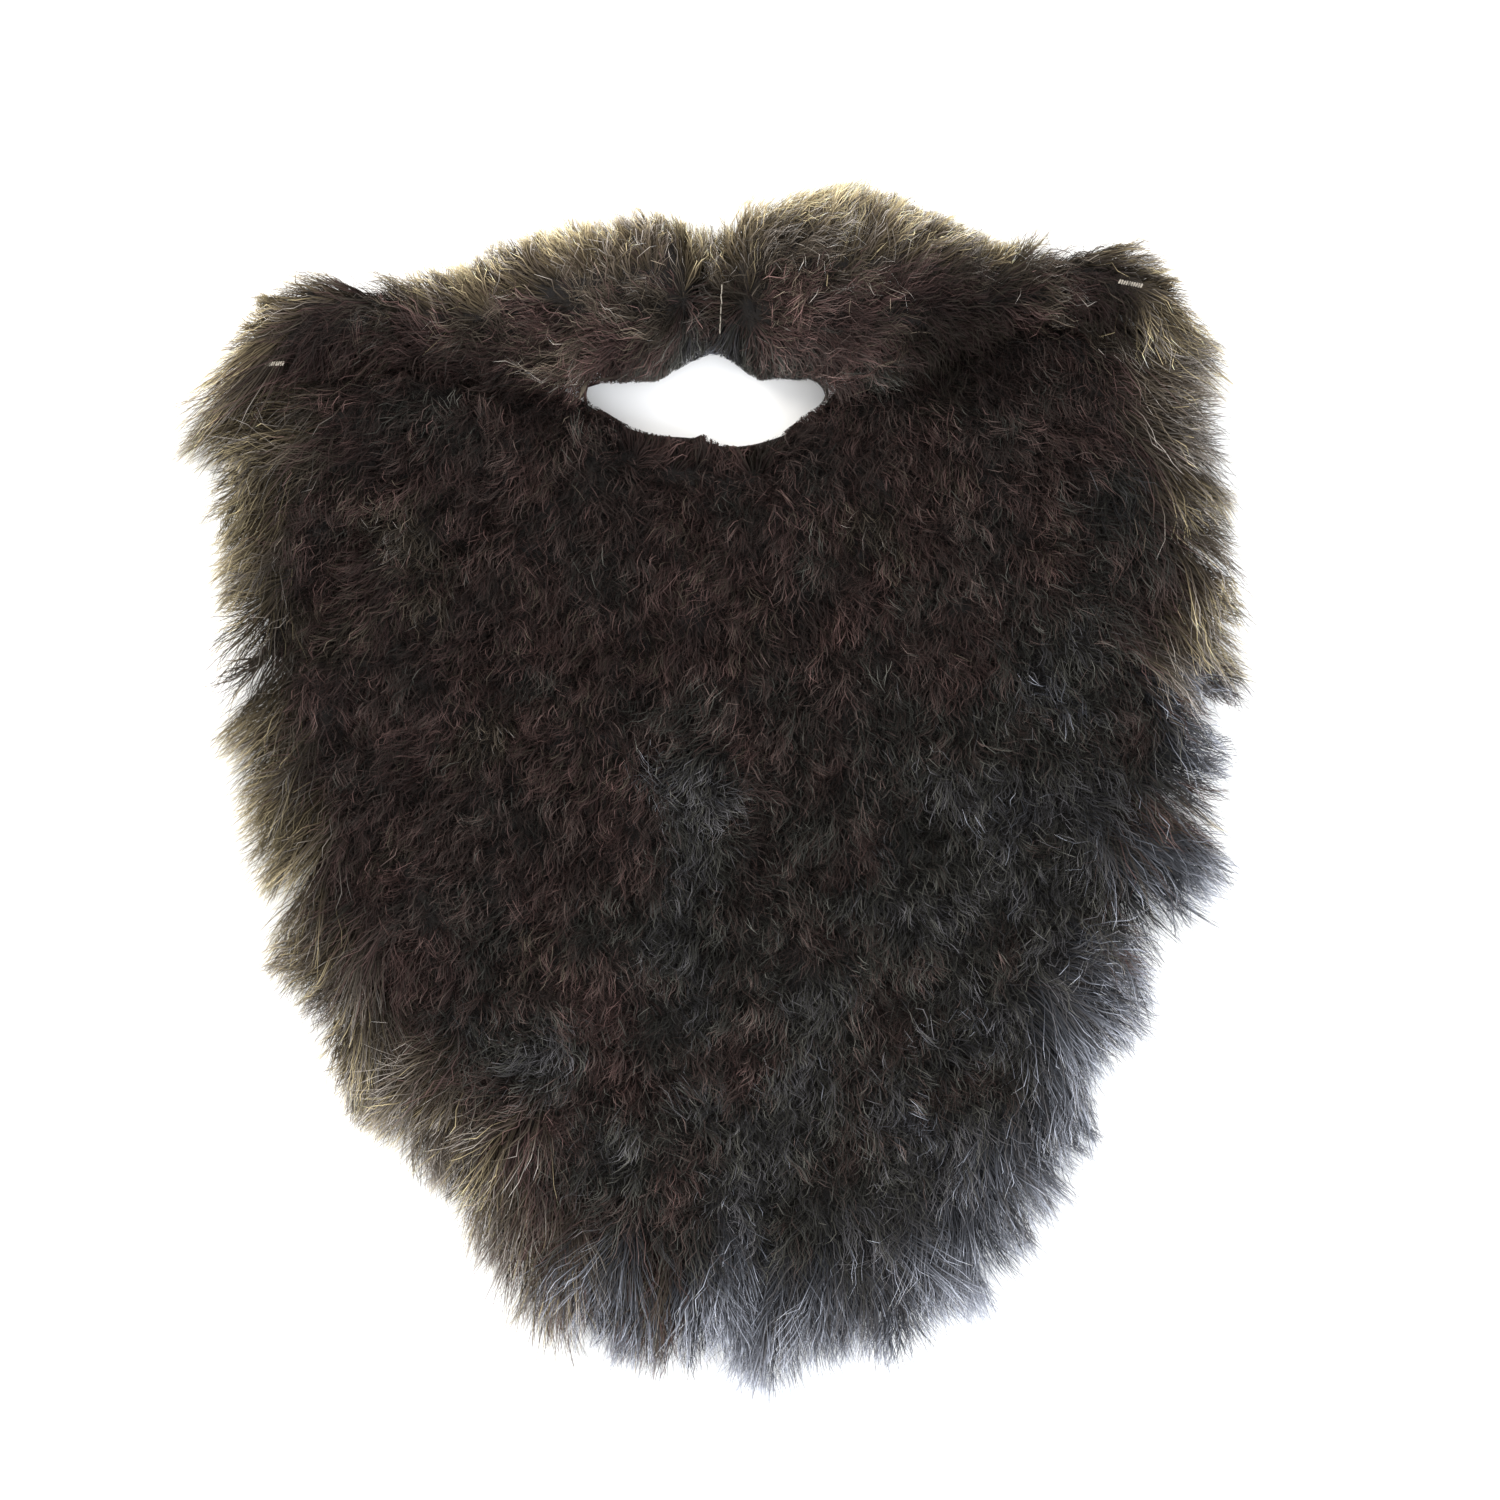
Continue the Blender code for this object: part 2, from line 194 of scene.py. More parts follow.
SoftLight = namedtuple("SoftLight", "name place size watts colour")
SOFT_LIGHTS = [
    SoftLight("light_upper_left", (-1.3, 1.3, 1.9), 1.3, 42.0, (1.0, 0.95, 0.86)),
    SoftLight("light_lower_right", (1.4, -1.2, 1.8), 1.5, 27.0, (0.86, 0.92, 1.0)),
]
for light in SOFT_LIGHTS:
    lamp = bpy.data.lights.new(light.name, "AREA")
    lamp.shape = "DISK"
    lamp.size = light.size
    lamp.energy = light.watts
    lamp.color = light.colour
    holder = bpy.data.objects.new(light.name, lamp)
    holder.location = light.place
    holder.rotation_euler = (-Vector(light.place)).to_track_quat("-Z", "Y").to_euler()
    bpy.context.collection.objects.link(holder)


# The beard's backing is one cut panel of thin knitted polyester, brushed black, with the dip
# of the mouth in its top edge. It lies flat on the table and every hair grows out of it.
BACKING_LOW = 0.25
BACKING_THICK = 1.2
KNIT_COLUMN = 1.6
KNIT_ROW = 1.3
LOOP_STEPS = 6
BACKING_TUCK = 2.0
PANEL_EDGE = [
    (-101, 116), (-74, 115), (-55, 110), (-44, 106), (-34, 101), (-26, 95.6), (-17, 92.2),
    (-6, 91.2), (4, 89), (16, 91.8), (24, 97), (30, 103.4), (48, 111), (76, 122),
    (101, 122), (109, 104), (110, 74), (111, 44),
    (107, 14), (101, -14), (89, -43), (72, -77), (46, -106), (15, -117), (-14, -119),
    (-37, -107), (-62, -78), (-82, -48), (-94, -18), (-102, 14), (-105, 44), (-108, 76),
    (-109, 102),
]


def knit_material():
    material, shader, nodes = new_material("backing_knit", Roughness=0.92, Sheen_Weight=0.25)
    place = nodes.add("ShaderNodeTexCoord", output="Object")
    split = nodes.add("ShaderNodeSeparateXYZ", None, {0: place})
    across = split * (1 / (KNIT_COLUMN * MM))
    along = split.output(1) * (1 / (KNIT_ROW * MM))
    lean = (across.math("FRACT") - 0.5).math("ABSOLUTE")
    loop = ((along + lean * 1.2) * math.tau).math("SINE") * 0.5 + 0.5
    rib = (lean * math.tau).math("SINE")
    fluff = nodes.add("ShaderNodeTexNoise", None, {"Vector": place, "Scale": 900.0, "Detail": 4.0})
    height = loop * 0.45 + rib * 0.4 + fluff * 0.35
    # The tint darkens where the knit's loops dip: painted shade in its low places, on the yarn's brushed
    # black.
    tint = ramp(nodes, height, [(0.25, (0.006, 0.005, 0.005)), (0.85, (0.034, 0.029, 0.026))])
    bump = nodes.add("ShaderNodeBump", None, {"Strength": 0.6, "Distance": 0.0004, "Height": height})
    nodes.tree.links.new(tint.socket, shader.inputs["Base Color"])
    nodes.tree.links.new(bump.socket, shader.inputs["Normal"])
    return material


def smooth_loop(points, steps):
    """A closed curve through the points, as a Catmull-Rom spline."""
    loop = []
    for i in range(len(points)):
        a, b, c, d = (Vector(points[(i + k) % len(points)][:2]) for k in (-1, 0, 1, 2))
        for s in range(steps):
            t = s / steps
            loop.append(
                0.5 * (2 * b + (c - a) * t + (2 * a - 5 * b + 4 * c - d) * t**2
                       + (3 * b - a - 3 * c + d) * t**3)
            )
    return loop


def drawn_in(outline, by):
    """The outline with every point moved inwards by so many mm."""
    ring = [Vector(p[:2]) for p in outline]
    turn = sum(a.x * b.y - b.x * a.y for a, b in zip(ring, [*ring[1:], ring[0]]))
    moved = []
    for i, point in enumerate(ring):
        way = (ring[(i + 1) % len(ring)] - ring[i - 1]).normalized()
        inwards = Vector((-way.y, way.x)) * math.copysign(1, turn)
        moved.append(point + inwards * by)
    return moved


def cut_cloth(name, outline, low, thick, material):
    """A flat piece of cloth cut to the outline (mm), with its edge closed."""
    bm = bmesh.new()
    face = bm.faces.new([bm.verts.new((p[0] * MM, p[1] * MM, low * MM)) for p in outline])
    raised = bmesh.ops.extrude_face_region(bm, geom=[face])
    lifted = [v for v in raised["geom"] if isinstance(v, bmesh.types.BMVert)]
    bmesh.ops.translate(bm, verts=lifted, vec=(0, 0, thick * MM))
    bmesh.ops.triangulate(bm, faces=bm.faces[:])
    bmesh.ops.recalc_face_normals(bm, faces=bm.faces[:])
    mesh = bpy.data.meshes.new(name)
    bm.to_mesh(mesh)
    bm.free()
    return new_piece(name, mesh, material)


def spread(outline):
    """The outline's area (mm2) and its width and length (mm)."""
    area = sum(a[0] * b[1] - b[0] * a[1] for a, b in zip(outline, [*outline[1:], outline[0]])) / 2
    xs, ys = [p[0] for p in outline], [p[1] for p in outline]
    return abs(area), max(xs) - min(xs), max(ys) - min(ys)


backing_finish = knit_material()
panel_outline = drawn_in(smooth_loop(PANEL_EDGE, LOOP_STEPS), BACKING_TUCK)
beard_backing = cut_cloth("beard_backing", panel_outline, BACKING_LOW, BACKING_THICK, backing_finish)


# The beard's pile is deep dark acrylic fur, browner to the tips and painted near black toward the roots
# as the shade deep in the pile. Its roots stand so close that they read as one dark mass, modelled as a
# core inside the hairs and painted near black as that shade.
CORE_VOXEL = 3.0
CORE_INSET = 3.0
CORE_SOFTENING = (4, 3)
OVERHEAD = 0.1
GRID_STEP = 1.5
GRID_REACH = (144.0, 160.0)
PANEL_HAIR = 11.5
PANEL_ROOTS_LOW = 1.0
RIM_HAIR = 36.0
MOUTH_SLACK = 0.2
MOUTH_TOP = [
    (-33, 99.5), (-32, 102), (-29, 102.4), (-15, 103), (-7, 107.8), (-1, 110.3), (4, 107.8),
    (10, 103.3), (17, 103.5), (25, 102.9), (27.2, 99.6),
]
MOUTH_LOW = [
    (-33, 99.5), (-31.5, 97.6), (-28, 95.4), (-23, 92.5), (-17, 90.3), (-12, 89.6), (-7, 88.9),
    (-3, 90.2), (1, 87.6), (5, 86.9), (10, 87.5), (15, 89.6), (19, 92.4), (21, 94.3), (25.5, 97),
    (27.2, 99.6),
]


def solid_tree(name):
    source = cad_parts[name]
    points = [source.matrix_world @ v.co for v in source.data.vertices]
    return BVHTree.FromPolygons(points, [p.vertices[:] for p in source.data.polygons])


class Relief:
    """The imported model's height over the table on a fine grid, in mm."""

    def __init__(self, names):
        trees = [solid_tree(name) for name in names]
        xs = np.arange(-GRID_REACH[0], GRID_REACH[0], GRID_STEP)
        ys = np.arange(-GRID_REACH[1], GRID_REACH[1], GRID_STEP)
        self.height = np.zeros((len(ys), len(xs)))
        for j, y in enumerate(ys):
            for i, x in enumerate(xs):
                for tree in trees:
                    hit = tree.ray_cast(Vector((x * MM, y * MM, OVERHEAD)), Vector((0, 0, -1)))[0]
                    if hit is not None:
                        self.height[j, i] = max(self.height[j, i], hit.z / MM)
        inside = self.height > 0
        for _ in range(2):
            total, count = np.zeros_like(self.height), np.zeros_like(self.height)
            for dy in (-1, 0, 1):
                for dx in (-1, 0, 1):
                    near = np.roll(inside, (dy, dx), (0, 1))
                    total += np.roll(self.height, (dy, dx), (0, 1)) * near
                    count += near
            self.height = np.where(inside, total / np.maximum(count, 1), 0)

    def cell(self, x, y):
        i = int(round((x + GRID_REACH[0]) / GRID_STEP))
        j = int(round((y + GRID_REACH[1]) / GRID_STEP))
        rows, columns = self.height.shape
        return min(max(j, 0), rows - 1), min(max(i, 0), columns - 1)

    def at(self, x, y):
        return self.height[self.cell(x, y)]


def plain_mesh(piece):
    """What the piece's modifiers make of it, as a plain mesh with every attribute."""
    graph = bpy.context.evaluated_depsgraph_get()
    mesh = bpy.data.meshes.new_from_object(
        piece.evaluated_get(graph), preserve_all_data_layers=True, depsgraph=graph
    )
    piece.modifiers.clear()
    return mesh


def take_plain_mesh(piece):
    """Leave the piece with the plain mesh that its modifiers make, smooth shaded."""
    old, piece.data = piece.data, plain_mesh(piece)
    bpy.data.meshes.remove(old)
    piece.data.polygons.foreach_set("use_smooth", [True] * len(piece.data.polygons))


def keep_largest(mesh):
    """Drop every loose crumb that drawing the form in has left beside its main body."""
    bm = bmesh.new()
    bm.from_mesh(mesh)
    left, bodies = set(bm.verts), []
    while left:
        body, edge = set(), [left.pop()]
        while edge:
            vert = edge.pop()
            body.add(vert)
            fresh = {e.other_vert(vert) for e in vert.link_edges} & left
            left -= fresh
            edge += fresh
        bodies.append(body)
    largest = max(bodies, key=len)
    crumbs = [v for v in bm.verts if v not in largest]
    bmesh.ops.delete(bm, geom=crumbs, context="VERTS")
    bm.to_mesh(mesh)
    bm.free()


def root_core(name, node, low, inset, material):
    """The dense mass of roots inside a node's form: the node drawn in by the hairs' depth."""
    bm = bmesh.new()
    bm.from_mesh(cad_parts[node].data)
    bmesh.ops.remove_doubles(bm, verts=bm.verts[:], dist=0.01 * MM)
    mesh = bpy.data.meshes.new(name)
    bm.to_mesh(mesh)
    bm.free()
    core = new_piece(name, mesh, material)
    for depth, rounds in zip((inset, 0.0), CORE_SOFTENING):
        remesh = core.modifiers.new("even", "REMESH")
        remesh.mode = "VOXEL"
        remesh.voxel_size = CORE_VOXEL * MM
        soften = core.modifiers.new("soften", "SMOOTH")
        soften.iterations = rounds
        if depth:
            draw_in = core.modifiers.new("draw_in", "DISPLACE")
            draw_in.mid_level = 0.0
            draw_in.strength = -depth * MM
    take_plain_mesh(core)
    keep_largest(core.data)
    for v in core.data.vertices:
        v.co.z = max(v.co.z, low * MM)
    return core


def root_shade_material():
    material, shader, nodes = new_material("pile_roots", Roughness=0.85)
    shader.inputs["Specular IOR Level"].default_value = 0.2
    place = nodes.add("ShaderNodeTexCoord", output="Object")
    tufts = nodes.add("ShaderNodeTexNoise", None, {"Vector": place, "Scale": 260.0, "Detail": 5.0})
    fibre = nodes.add("ShaderNodeTexNoise", None, {"Vector": place, "Scale": 1400.0, "Detail": 3.0})
    height = tufts * 0.6 + fibre * 0.4
    # Near black: painted shade of the packed roots, darker still in the low places of the tufts.
    tint = ramp(nodes, height, [(0.35, (0.002, 0.0015, 0.0015)), (0.7, (0.008, 0.006, 0.005))])
    bump = nodes.add("ShaderNodeBump", None, {"Strength": 0.8, "Distance": 0.0015, "Height": height})
    nodes.tree.links.new(tint.socket, shader.inputs["Base Color"])
    nodes.tree.links.new(bump.socket, shader.inputs["Normal"])
    return material


# The way the beard's hair lies: down from the top edge and fanning out to the sides, turned
# round in a few whorls, and drawn together at the rim into the locks that make the outline.
Rim = namedtuple("Rim", "x y")
Tip = namedtuple("Tip", "x y")
FRINGE = [
    Rim(31, 153), Rim(19, 152), Rim(10, 147), Rim(-3, 139), Rim(-13, 144), Rim(-41, 140),
    Rim(-70, 128), Rim(-102, 131), Rim(-114, 124), Rim(-118, 112), Rim(-124, 100), Rim(-130, 88),
    Tip(-138, 83), Rim(-127, 85), Rim(-118, 79), Tip(-126, 60), Rim(-120, 62), Rim(-120, 51),
    Tip(-126, 46), Rim(-120, 43), Rim(-129, 37), Tip(-132, 28), Rim(-123, 25), Tip(-131, 15),
    Rim(-120, 2), Rim(-115, -12), Tip(-117, -25), Rim(-106, -24), Tip(-114, -49), Rim(-104, -52),
    Rim(-98, -61), Rim(-96, -68), Tip(-92, -84), Rim(-88, -85), Rim(-77, -94), Tip(-69, -101),
    Rim(-64, -102), Rim(-61, -110), Tip(-61, -120), Rim(-52, -116), Rim(-52, -124), Rim(-48, -130),
    Tip(-45, -149), Rim(-35, -132), Rim(-30, -135), Tip(-22, -146), Rim(-13, -142), Tip(-6, -151),
    Rim(-3, -138), Rim(3, -137), Tip(9, -155), Rim(15, -148), Tip(20, -147), Tip(30, -144),
    Rim(34, -138), Tip(44, -147), Rim(51, -141), Rim(60, -133), Tip(70, -134), Rim(79, -118),
    Rim(85, -101), Tip(92, -94), Rim(91, -79), Rim(97, -67), Tip(110, -65), Rim(107, -46),
    Rim(111, -36), Tip(125, -40), Rim(118, -27), Tip(131, -26), Rim(125, -14), Rim(125, -3),
    Tip(131, 11), Rim(118, 18), Rim(120, 24), Tip(134, 21), Rim(134, 34), Rim(128, 53),
    Rim(128, 87), Rim(122, 101), Tip(127, 110), Rim(121, 118), Rim(110, 133), Rim(103, 138),
    Rim(90, 140), Rim(70, 136), Rim(46, 146),
]
RIM_TIPS = [point for point in FRINGE if isinstance(point, Tip)]
REACH_STEP = 0.75
# Painted shade in the creases and recesses under the moustache and by the mouth, where light is below 0,
# and a few paler spots of painted light, where it is above 0.
ShadeOrLightSpot = namedtuple("ShadeOrLightSpot", "x y radius light hue")
PAINTED_SHADE_AND_LIGHT_SPOTS = [
    ShadeOrLightSpot(-110, 102, 7, -0.45, 0), ShadeOrLightSpot(-98, 114, 8, -0.40, 0.1), ShadeOrLightSpot(-86, 117, 8, -0.35, 0.1),
    ShadeOrLightSpot(-72, 113, 7, -0.30, 0.1), ShadeOrLightSpot(-58, 109, 7, -0.40, 0.1), ShadeOrLightSpot(-46, 104, 8, -0.45, 0),
    ShadeOrLightSpot(58, 114, 14, -0.95, 0), ShadeOrLightSpot(93, 125, 8, -0.85, 0), ShadeOrLightSpot(48, 110, 8, -0.35, 0),
    ShadeOrLightSpot(35, 106, 6, 0.15, 0.12), ShadeOrLightSpot(-37, 99, 5, 0.10, 0.12), ShadeOrLightSpot(76, 108, 10, -0.30, 0),
    ShadeOrLightSpot(-80, 107, 7, 0.15, 0.05), ShadeOrLightSpot(-113, 114, 7, 0.08, -0.2), ShadeOrLightSpot(106, 122, 8, 0.12, -0.2),
]
# pale is a painted highlight, lighter and cooler, where the hair turns round in each whorl.
Whorl = namedtuple("Whorl", "x y radius turn pale")
WHORLS = [Whorl(-4, 3, 13, 1.3, 0.26), Whorl(-44, -62, 11, -1.4, 0.16), Whorl(81, -42, 8, 1.3, 0.38)]
WHORL_FORCE = 1.8
LongLock = namedtuple("LongLock", "x y tip_x tip_y")
LONG_LOCKS = [LongLock(-44, -110, -45, -149), LongLock(12, -120, 9, -155), LongLock(72, -98, 80, -116)]
LOCK_STEERED_MM2 = 170
LOCK_GROWN_MM2 = 196
LOCK_EXTRA = 9
# Degrees of heading, and degrees of fanning for each mm off the middle.
DOWN = 270
WANDER = 55
CORNER_TURN = 24
FAN = 0.28
FAN_AT_TOP = 0.08
FAN_AT_RIM = 0.13
# How the rim's tips draw the hair's heading (mm), and then the hair's own end.
TIP_RANGE = (1.0, 48.0)
TIP_ASIDE = 9.0
TIP_FADE = 16.0
TIP_FORCE = 1.6
LOCK_REACH = 9.0
LOCK_DRAW = 0.6
# Lengths of hair at the rim and on the mouth's lips (mm), and how much thicker it stands there.
EDGE_BAND = (-6, 8)
RIM_SPARE = 14.0
RIM_RUN = 1.17
RIM_CROWD = 0.2
SHORTEST = 5.0
LIP_OVERHANG = 2.5
LIP_SHORTEST = 3.5
LIP_LONGEST = 14.0
LIP_CROWD = 1.6
LIP_LEAD = 4
LIP_LEVEL = 98
LIP_TOP = 122
LIP_DEPTH = 12
# Places on the run of hues, from 0, pale olive, through the browns to 1, cold grey. The rim's three
# are painted rim light on the pale tips: olive at the upper left, straw, and cold grey at the lower
# right.
PALEST_HUE = 0.33
RIM_OLIVE = 0.08
RIM_STRAW = 0.18
RIM_COOL = 0.94


def bell(x, y, centre, area):
    """1 at the centre and fading round it, to about a third where the distance squared is area."""
    return math.exp(-(((x - centre.x) ** 2 + (y - centre.y) ** 2) / area))


def with_painted_shade_and_light(x, y, hue, light):
    """The hue and lightness with painted shade in the creases and recesses and a few paler spots of
    painted light worked in.
    """
    for patch in PAINTED_SHADE_AND_LIGHT_SPOTS:
        fade = bell(x, y, patch, patch.radius**2)
        light += patch.light * fade
        hue += patch.hue * fade
    return min(hue, 0.78), light


def blend(low, high, value):
    """0 at low, 1 at high, and smooth between them."""
    share = min(max((value - low) / (high - low), 0.0), 1.0)
    return share * share * (3 - 2 * share)


class Reach:
    """The ground that the fur covers, on a fine grid: inside the fringe and outside the mouth."""

    def __init__(self, *loops):
        xs = np.arange(-GRID_REACH[0], GRID_REACH[0], REACH_STEP)
        ys = np.arange(-GRID_REACH[1], GRID_REACH[1], REACH_STEP)
        x, y = np.meshgrid(xs, ys)
        self.inside = np.zeros(x.shape, bool)
        for loop in loops:
            for a, b in zip(loop, [*loop[1:], loop[0]]):
                if a[1] != b[1]:
                    cut = a[0] + (y - a[1]) * (b[0] - a[0]) / (b[1] - a[1])
                    self.inside ^= ((y > min(a[1], b[1])) & (y <= max(a[1], b[1])) & (x < cut))

    def way_out(self, x, y, dx, dy, most):
        """How far a hair may run along (dx, dy) before it leaves the ground."""
        way = 0.0
        rows, columns = self.inside.shape
        while way < most:
            i = round((x + dx * way + GRID_REACH[0]) / REACH_STEP)
            j = round((y + dy * way + GRID_REACH[1]) / REACH_STEP)
            if not (0 <= i < columns and 0 <= j < rows and self.inside[j, i]):
                break
            way += REACH_STEP
        return way


def beard_heading(x, y):
    """The direction (unit vector) in which the beard's hair lies at a place."""
    fan = FAN + FAN_AT_TOP * blend(50, 100, y) + FAN_AT_RIM * blend(90, 130, math.hypot(x, y))
    angle = DOWN + fan * x
    angle += WANDER * noise.noise(Vector((x / 16, y / 16, 3.1))) * blend(0, 40, 150 - abs(y))
    side = 1 if x > 0 else -1
    angle += side * CORNER_TURN * blend(80, 112, y) * blend(80, 110, abs(x))
    way = Vector((math.cos(math.radians(angle)), math.sin(math.radians(angle))))
    for whorl in WHORLS:
        arm = Vector((x - whorl.x, y - whorl.y))
        fade = math.exp(-((arm.length / whorl.radius) ** 2))
        way += Vector((-arm.y, arm.x)) / whorl.radius * whorl.turn * WHORL_FORCE * fade
    way.normalize()
    best, pull = 0.0, way
    for tip in RIM_TIPS:
        arm = Vector((tip.x - x, tip.y - y))
        if arm.length < TIP_RANGE[0] or arm.length > TIP_RANGE[1]:
            continue
        aside = abs(arm.cross(way))
        weight = math.exp(-((aside / TIP_ASIDE) ** 2) - arm.length / TIP_FADE)
        if arm.dot(way) > 0 and weight > best:
            best, pull = weight, arm.normalized()
            near = 1 - blend(26, 46, arm.length)
    if best > 0:
        way = way + pull * TIP_FORCE * near * min(best * 6.0, 1.0)
    for lock in LONG_LOCKS:
        held = bell(x, y, lock, LOCK_STEERED_MM2)
        arm = Vector((lock.tip_x - x, lock.tip_y - y))
        way = way.normalized() * (1 - held) + arm.normalized() * held
    return way.normalized()


def comb_beard(x, y):
    """One hair of the beard: its heading, hue, lightness, and the least and most it may run."""
    way = beard_heading(x, y)
    # Painted light of the lamps: warmer at the upper left, cooler and lighter toward the lower right;
    # also lighter toward the chin.
    painted_cool_light = blend(-150, 210, x * 0.8 - y)
    patch = noise.noise(Vector((x / 17, y / 17, 8.3)))
    hue = max(0.41 + 0.40 * painted_cool_light + 0.24 * patch, PALEST_HUE)
    light = 0.42 + 0.10 * painted_cool_light + 0.12 * blend(10, 90, -y)
    light += 0.26 * noise.noise(Vector((x / 8, y / 8, 5.7)))
    hue, light = with_painted_shade_and_light(x, y, hue, light)
    # Painted highlight on each whorl.
    for whorl in WHORLS:
        fade = bell(x, y, whorl, (whorl.radius * 1.1) ** 2)
        light += whorl.pale * fade
        hue = max(hue, min(1.5 * fade, 1.0) * 0.8)
    most = RIM_HAIR
    for lock in LONG_LOCKS:
        most += LOCK_EXTRA * bell(x, y, lock, LOCK_GROWN_MM2)
    if MOUTH_LOW[0][0] < x < MOUTH_LOW[-1][0]:
        over = 1 - blend(7, LIP_DEPTH, level(MOUTH_LOW, x) - y)
        curl = 2.0 * noise.noise(Vector((x / 5, y / 5, 9.2)))
        way = (way * (1 - over) + Vector((curl, 0.8)) * over).normalized()
    return way, hue, light, 0.0, most


def level(line, x):
    """The height of a table's line at a place across the face."""
    return float(np.interp(x, [p[0] for p in line], [p[1] for p in line]))


def mouth_gap(x, y, way):
    """How far a hair by the mouth runs to the mouth's edge, or None for the other hairs."""
    ahead = x + way.x * LIP_LEAD
    if not MOUTH_TOP[0][0] < ahead < MOUTH_TOP[-1][0]:
        return None
    if way.y < -0.3 and LIP_LEVEL < y < LIP_TOP:
        return (level(MOUTH_TOP, ahead) - y) / way.y
    if way.y > 0.3 and y < LIP_LEVEL and y > level(MOUTH_LOW, x) - LIP_DEPTH:
        return (level(MOUTH_LOW, ahead) - y) / way.y
    return None


def painted_rim_light_tint(x, y):
    """The hue of the rim's painted light on its pale tips: olive at the upper left, then straw, then
    cold grey.
    """
    painted_warm_light = y * 0.75 - x * 0.75 + 30 * noise.noise(Vector((x / 16, y / 16, 6.6)))
    painted_warm_light += 25 * noise.noise(Vector((x / 4, y / 4, 2.9))) + 40 * blend(100, 125, y)
    return RIM_OLIVE if painted_warm_light > 50 else RIM_STRAW if painted_warm_light > -70 else RIM_COOL


def comb(core, relief, top_relief, lay_at, usual, longest, low):
    """Write on each point of a core where a hair rooted there ends, and how it is tinted."""
    mesh = core.data
    lay, hues, lights, thick, loose, full = [], [], [], [], [], []
    for vertex in mesh.vertices:
        x, y, z = vertex.co / MM
        top = max(relief.at(x, y), z + 1.0)
        share = min(max((z - low) / max(top - low, 1.0), 0.0), 1.0)
        way, hue, light, least, most = lay_at(x, y)
        far = max(longest, most)
        free = reach.way_out(x, y, way.x, way.y, far + RIM_SPARE)
        edge = 1 - blend(far + EDGE_BAND[0], far + EDGE_BAND[1], free)
        length = min(usual + (min(free * RIM_RUN, far) - usual) * edge, most)
        gap = mouth_gap(x, y, way)
        if gap is not None:
            least = length = min(max(gap + LIP_OVERHANG, LIP_SHORTEST), LIP_LONGEST)
        length = max(length, least, LIP_SHORTEST if gap is not None else SHORTEST)
        end = Vector((x + way.x * length, y + way.y * length))
        to_tip = min((Vector((tip.x, tip.y)) - end for tip in RIM_TIPS), key=lambda arm: arm.length)
        drawn = math.exp(-((to_tip.length / LOCK_REACH) ** 2)) * edge if gap is None else 0.0
        end += to_tip * LOCK_DRAW * drawn
        end_top = top_relief.at(*end)
        end_height = max(end_top * (0.25 + 0.75 * share), 2.0) if end_top else 3.0
        lay += [(end.x - x) * MM, (end.y - y) * MM, (end_height - z) * MM]
        rim_light_hue = painted_rim_light_tint(x, y)
        # By the mouth the lower lip's hair keeps its hue, a little darker, and the upper lip's takes
        # painted light, paler and cooler at the peak.
        if gap is not None and way.y > 0:
            rim_light_hue, light = hue, light - 0.1
        elif gap is not None:
            peak = math.exp(-((x / 11) ** 2))
            rim_light_hue, light = hue + (0.85 - hue) * peak, light + 0.16 * peak
        # Painted rim light: toward the rim the hair takes the rim's tint and grows lighter, a little
        # more at the bottom and less at the top.
        hues.append(hue + (rim_light_hue - hue) * blend(0.45, 0.9, edge))
        lights.append(light + (0.25 + 0.06 * blend(60, 140, -y) - 0.06 * blend(95, 125, y)) * edge)
        held = min(least / length, 1.0)
        full.append(max(drawn, held * 0.9, edge * 0.75))
        down = vertex.normal.z < -0.35
        thick.append(0.0 if down else LIP_CROWD if gap is not None else 1.0 + RIM_CROWD * edge)
        loose.append((1.0 - 0.74 * edge) * (1.0 - 0.4 * held))
    for name, kind, field, values in (
        ("lay", "FLOAT_VECTOR", "vector", lay),
        ("hue", "FLOAT", "value", hues),
        ("light", "FLOAT", "value", lights),
        ("thick", "FLOAT", "value", thick),
        ("loose", "FLOAT", "value", loose),
        ("full", "FLOAT", "value", full),
    ):
        mesh.attributes.new(name, kind, "POINT").data.foreach_set(field, values)


# Each hair of the pile is a fine crimped acrylic fibre, here a flat tapering ribbon. Thousands
# stand over the skin of the roots in small curling wisps. Each is tinted by its place on a map:
# hue and shade across, root to tip along, with painted shade darkening the root end.
STRAND_STATIONS = (0.0, 0.34, 0.57, 0.79)
MAP_HUES = 8
MAP_SHADES = 16
FUR_INPUTS = {
    "Hair": "NodeSocketObject",
    "Opening": "NodeSocketObject",
    "Hairs": "NodeSocketFloat",
    "Width": "NodeSocketFloat",
    "Wisp": "NodeSocketFloat",
    "Tress": "NodeSocketFloat",
    "Gather": "NodeSocketFloat",
    "Splay": "NodeSocketFloat",
    "Bend": "NodeSocketFloat",
    "Curl": "NodeSocketFloat",
    "Curl Length": "NodeSocketFloat",
    "Lift": "NodeSocketFloat",
    "Lowest": "NodeSocketFloat",
    "Fuzz": "NodeSocketFloat",
    "Seed": "NodeSocketInt",
    "Finish": "NodeSocketMaterial",
}


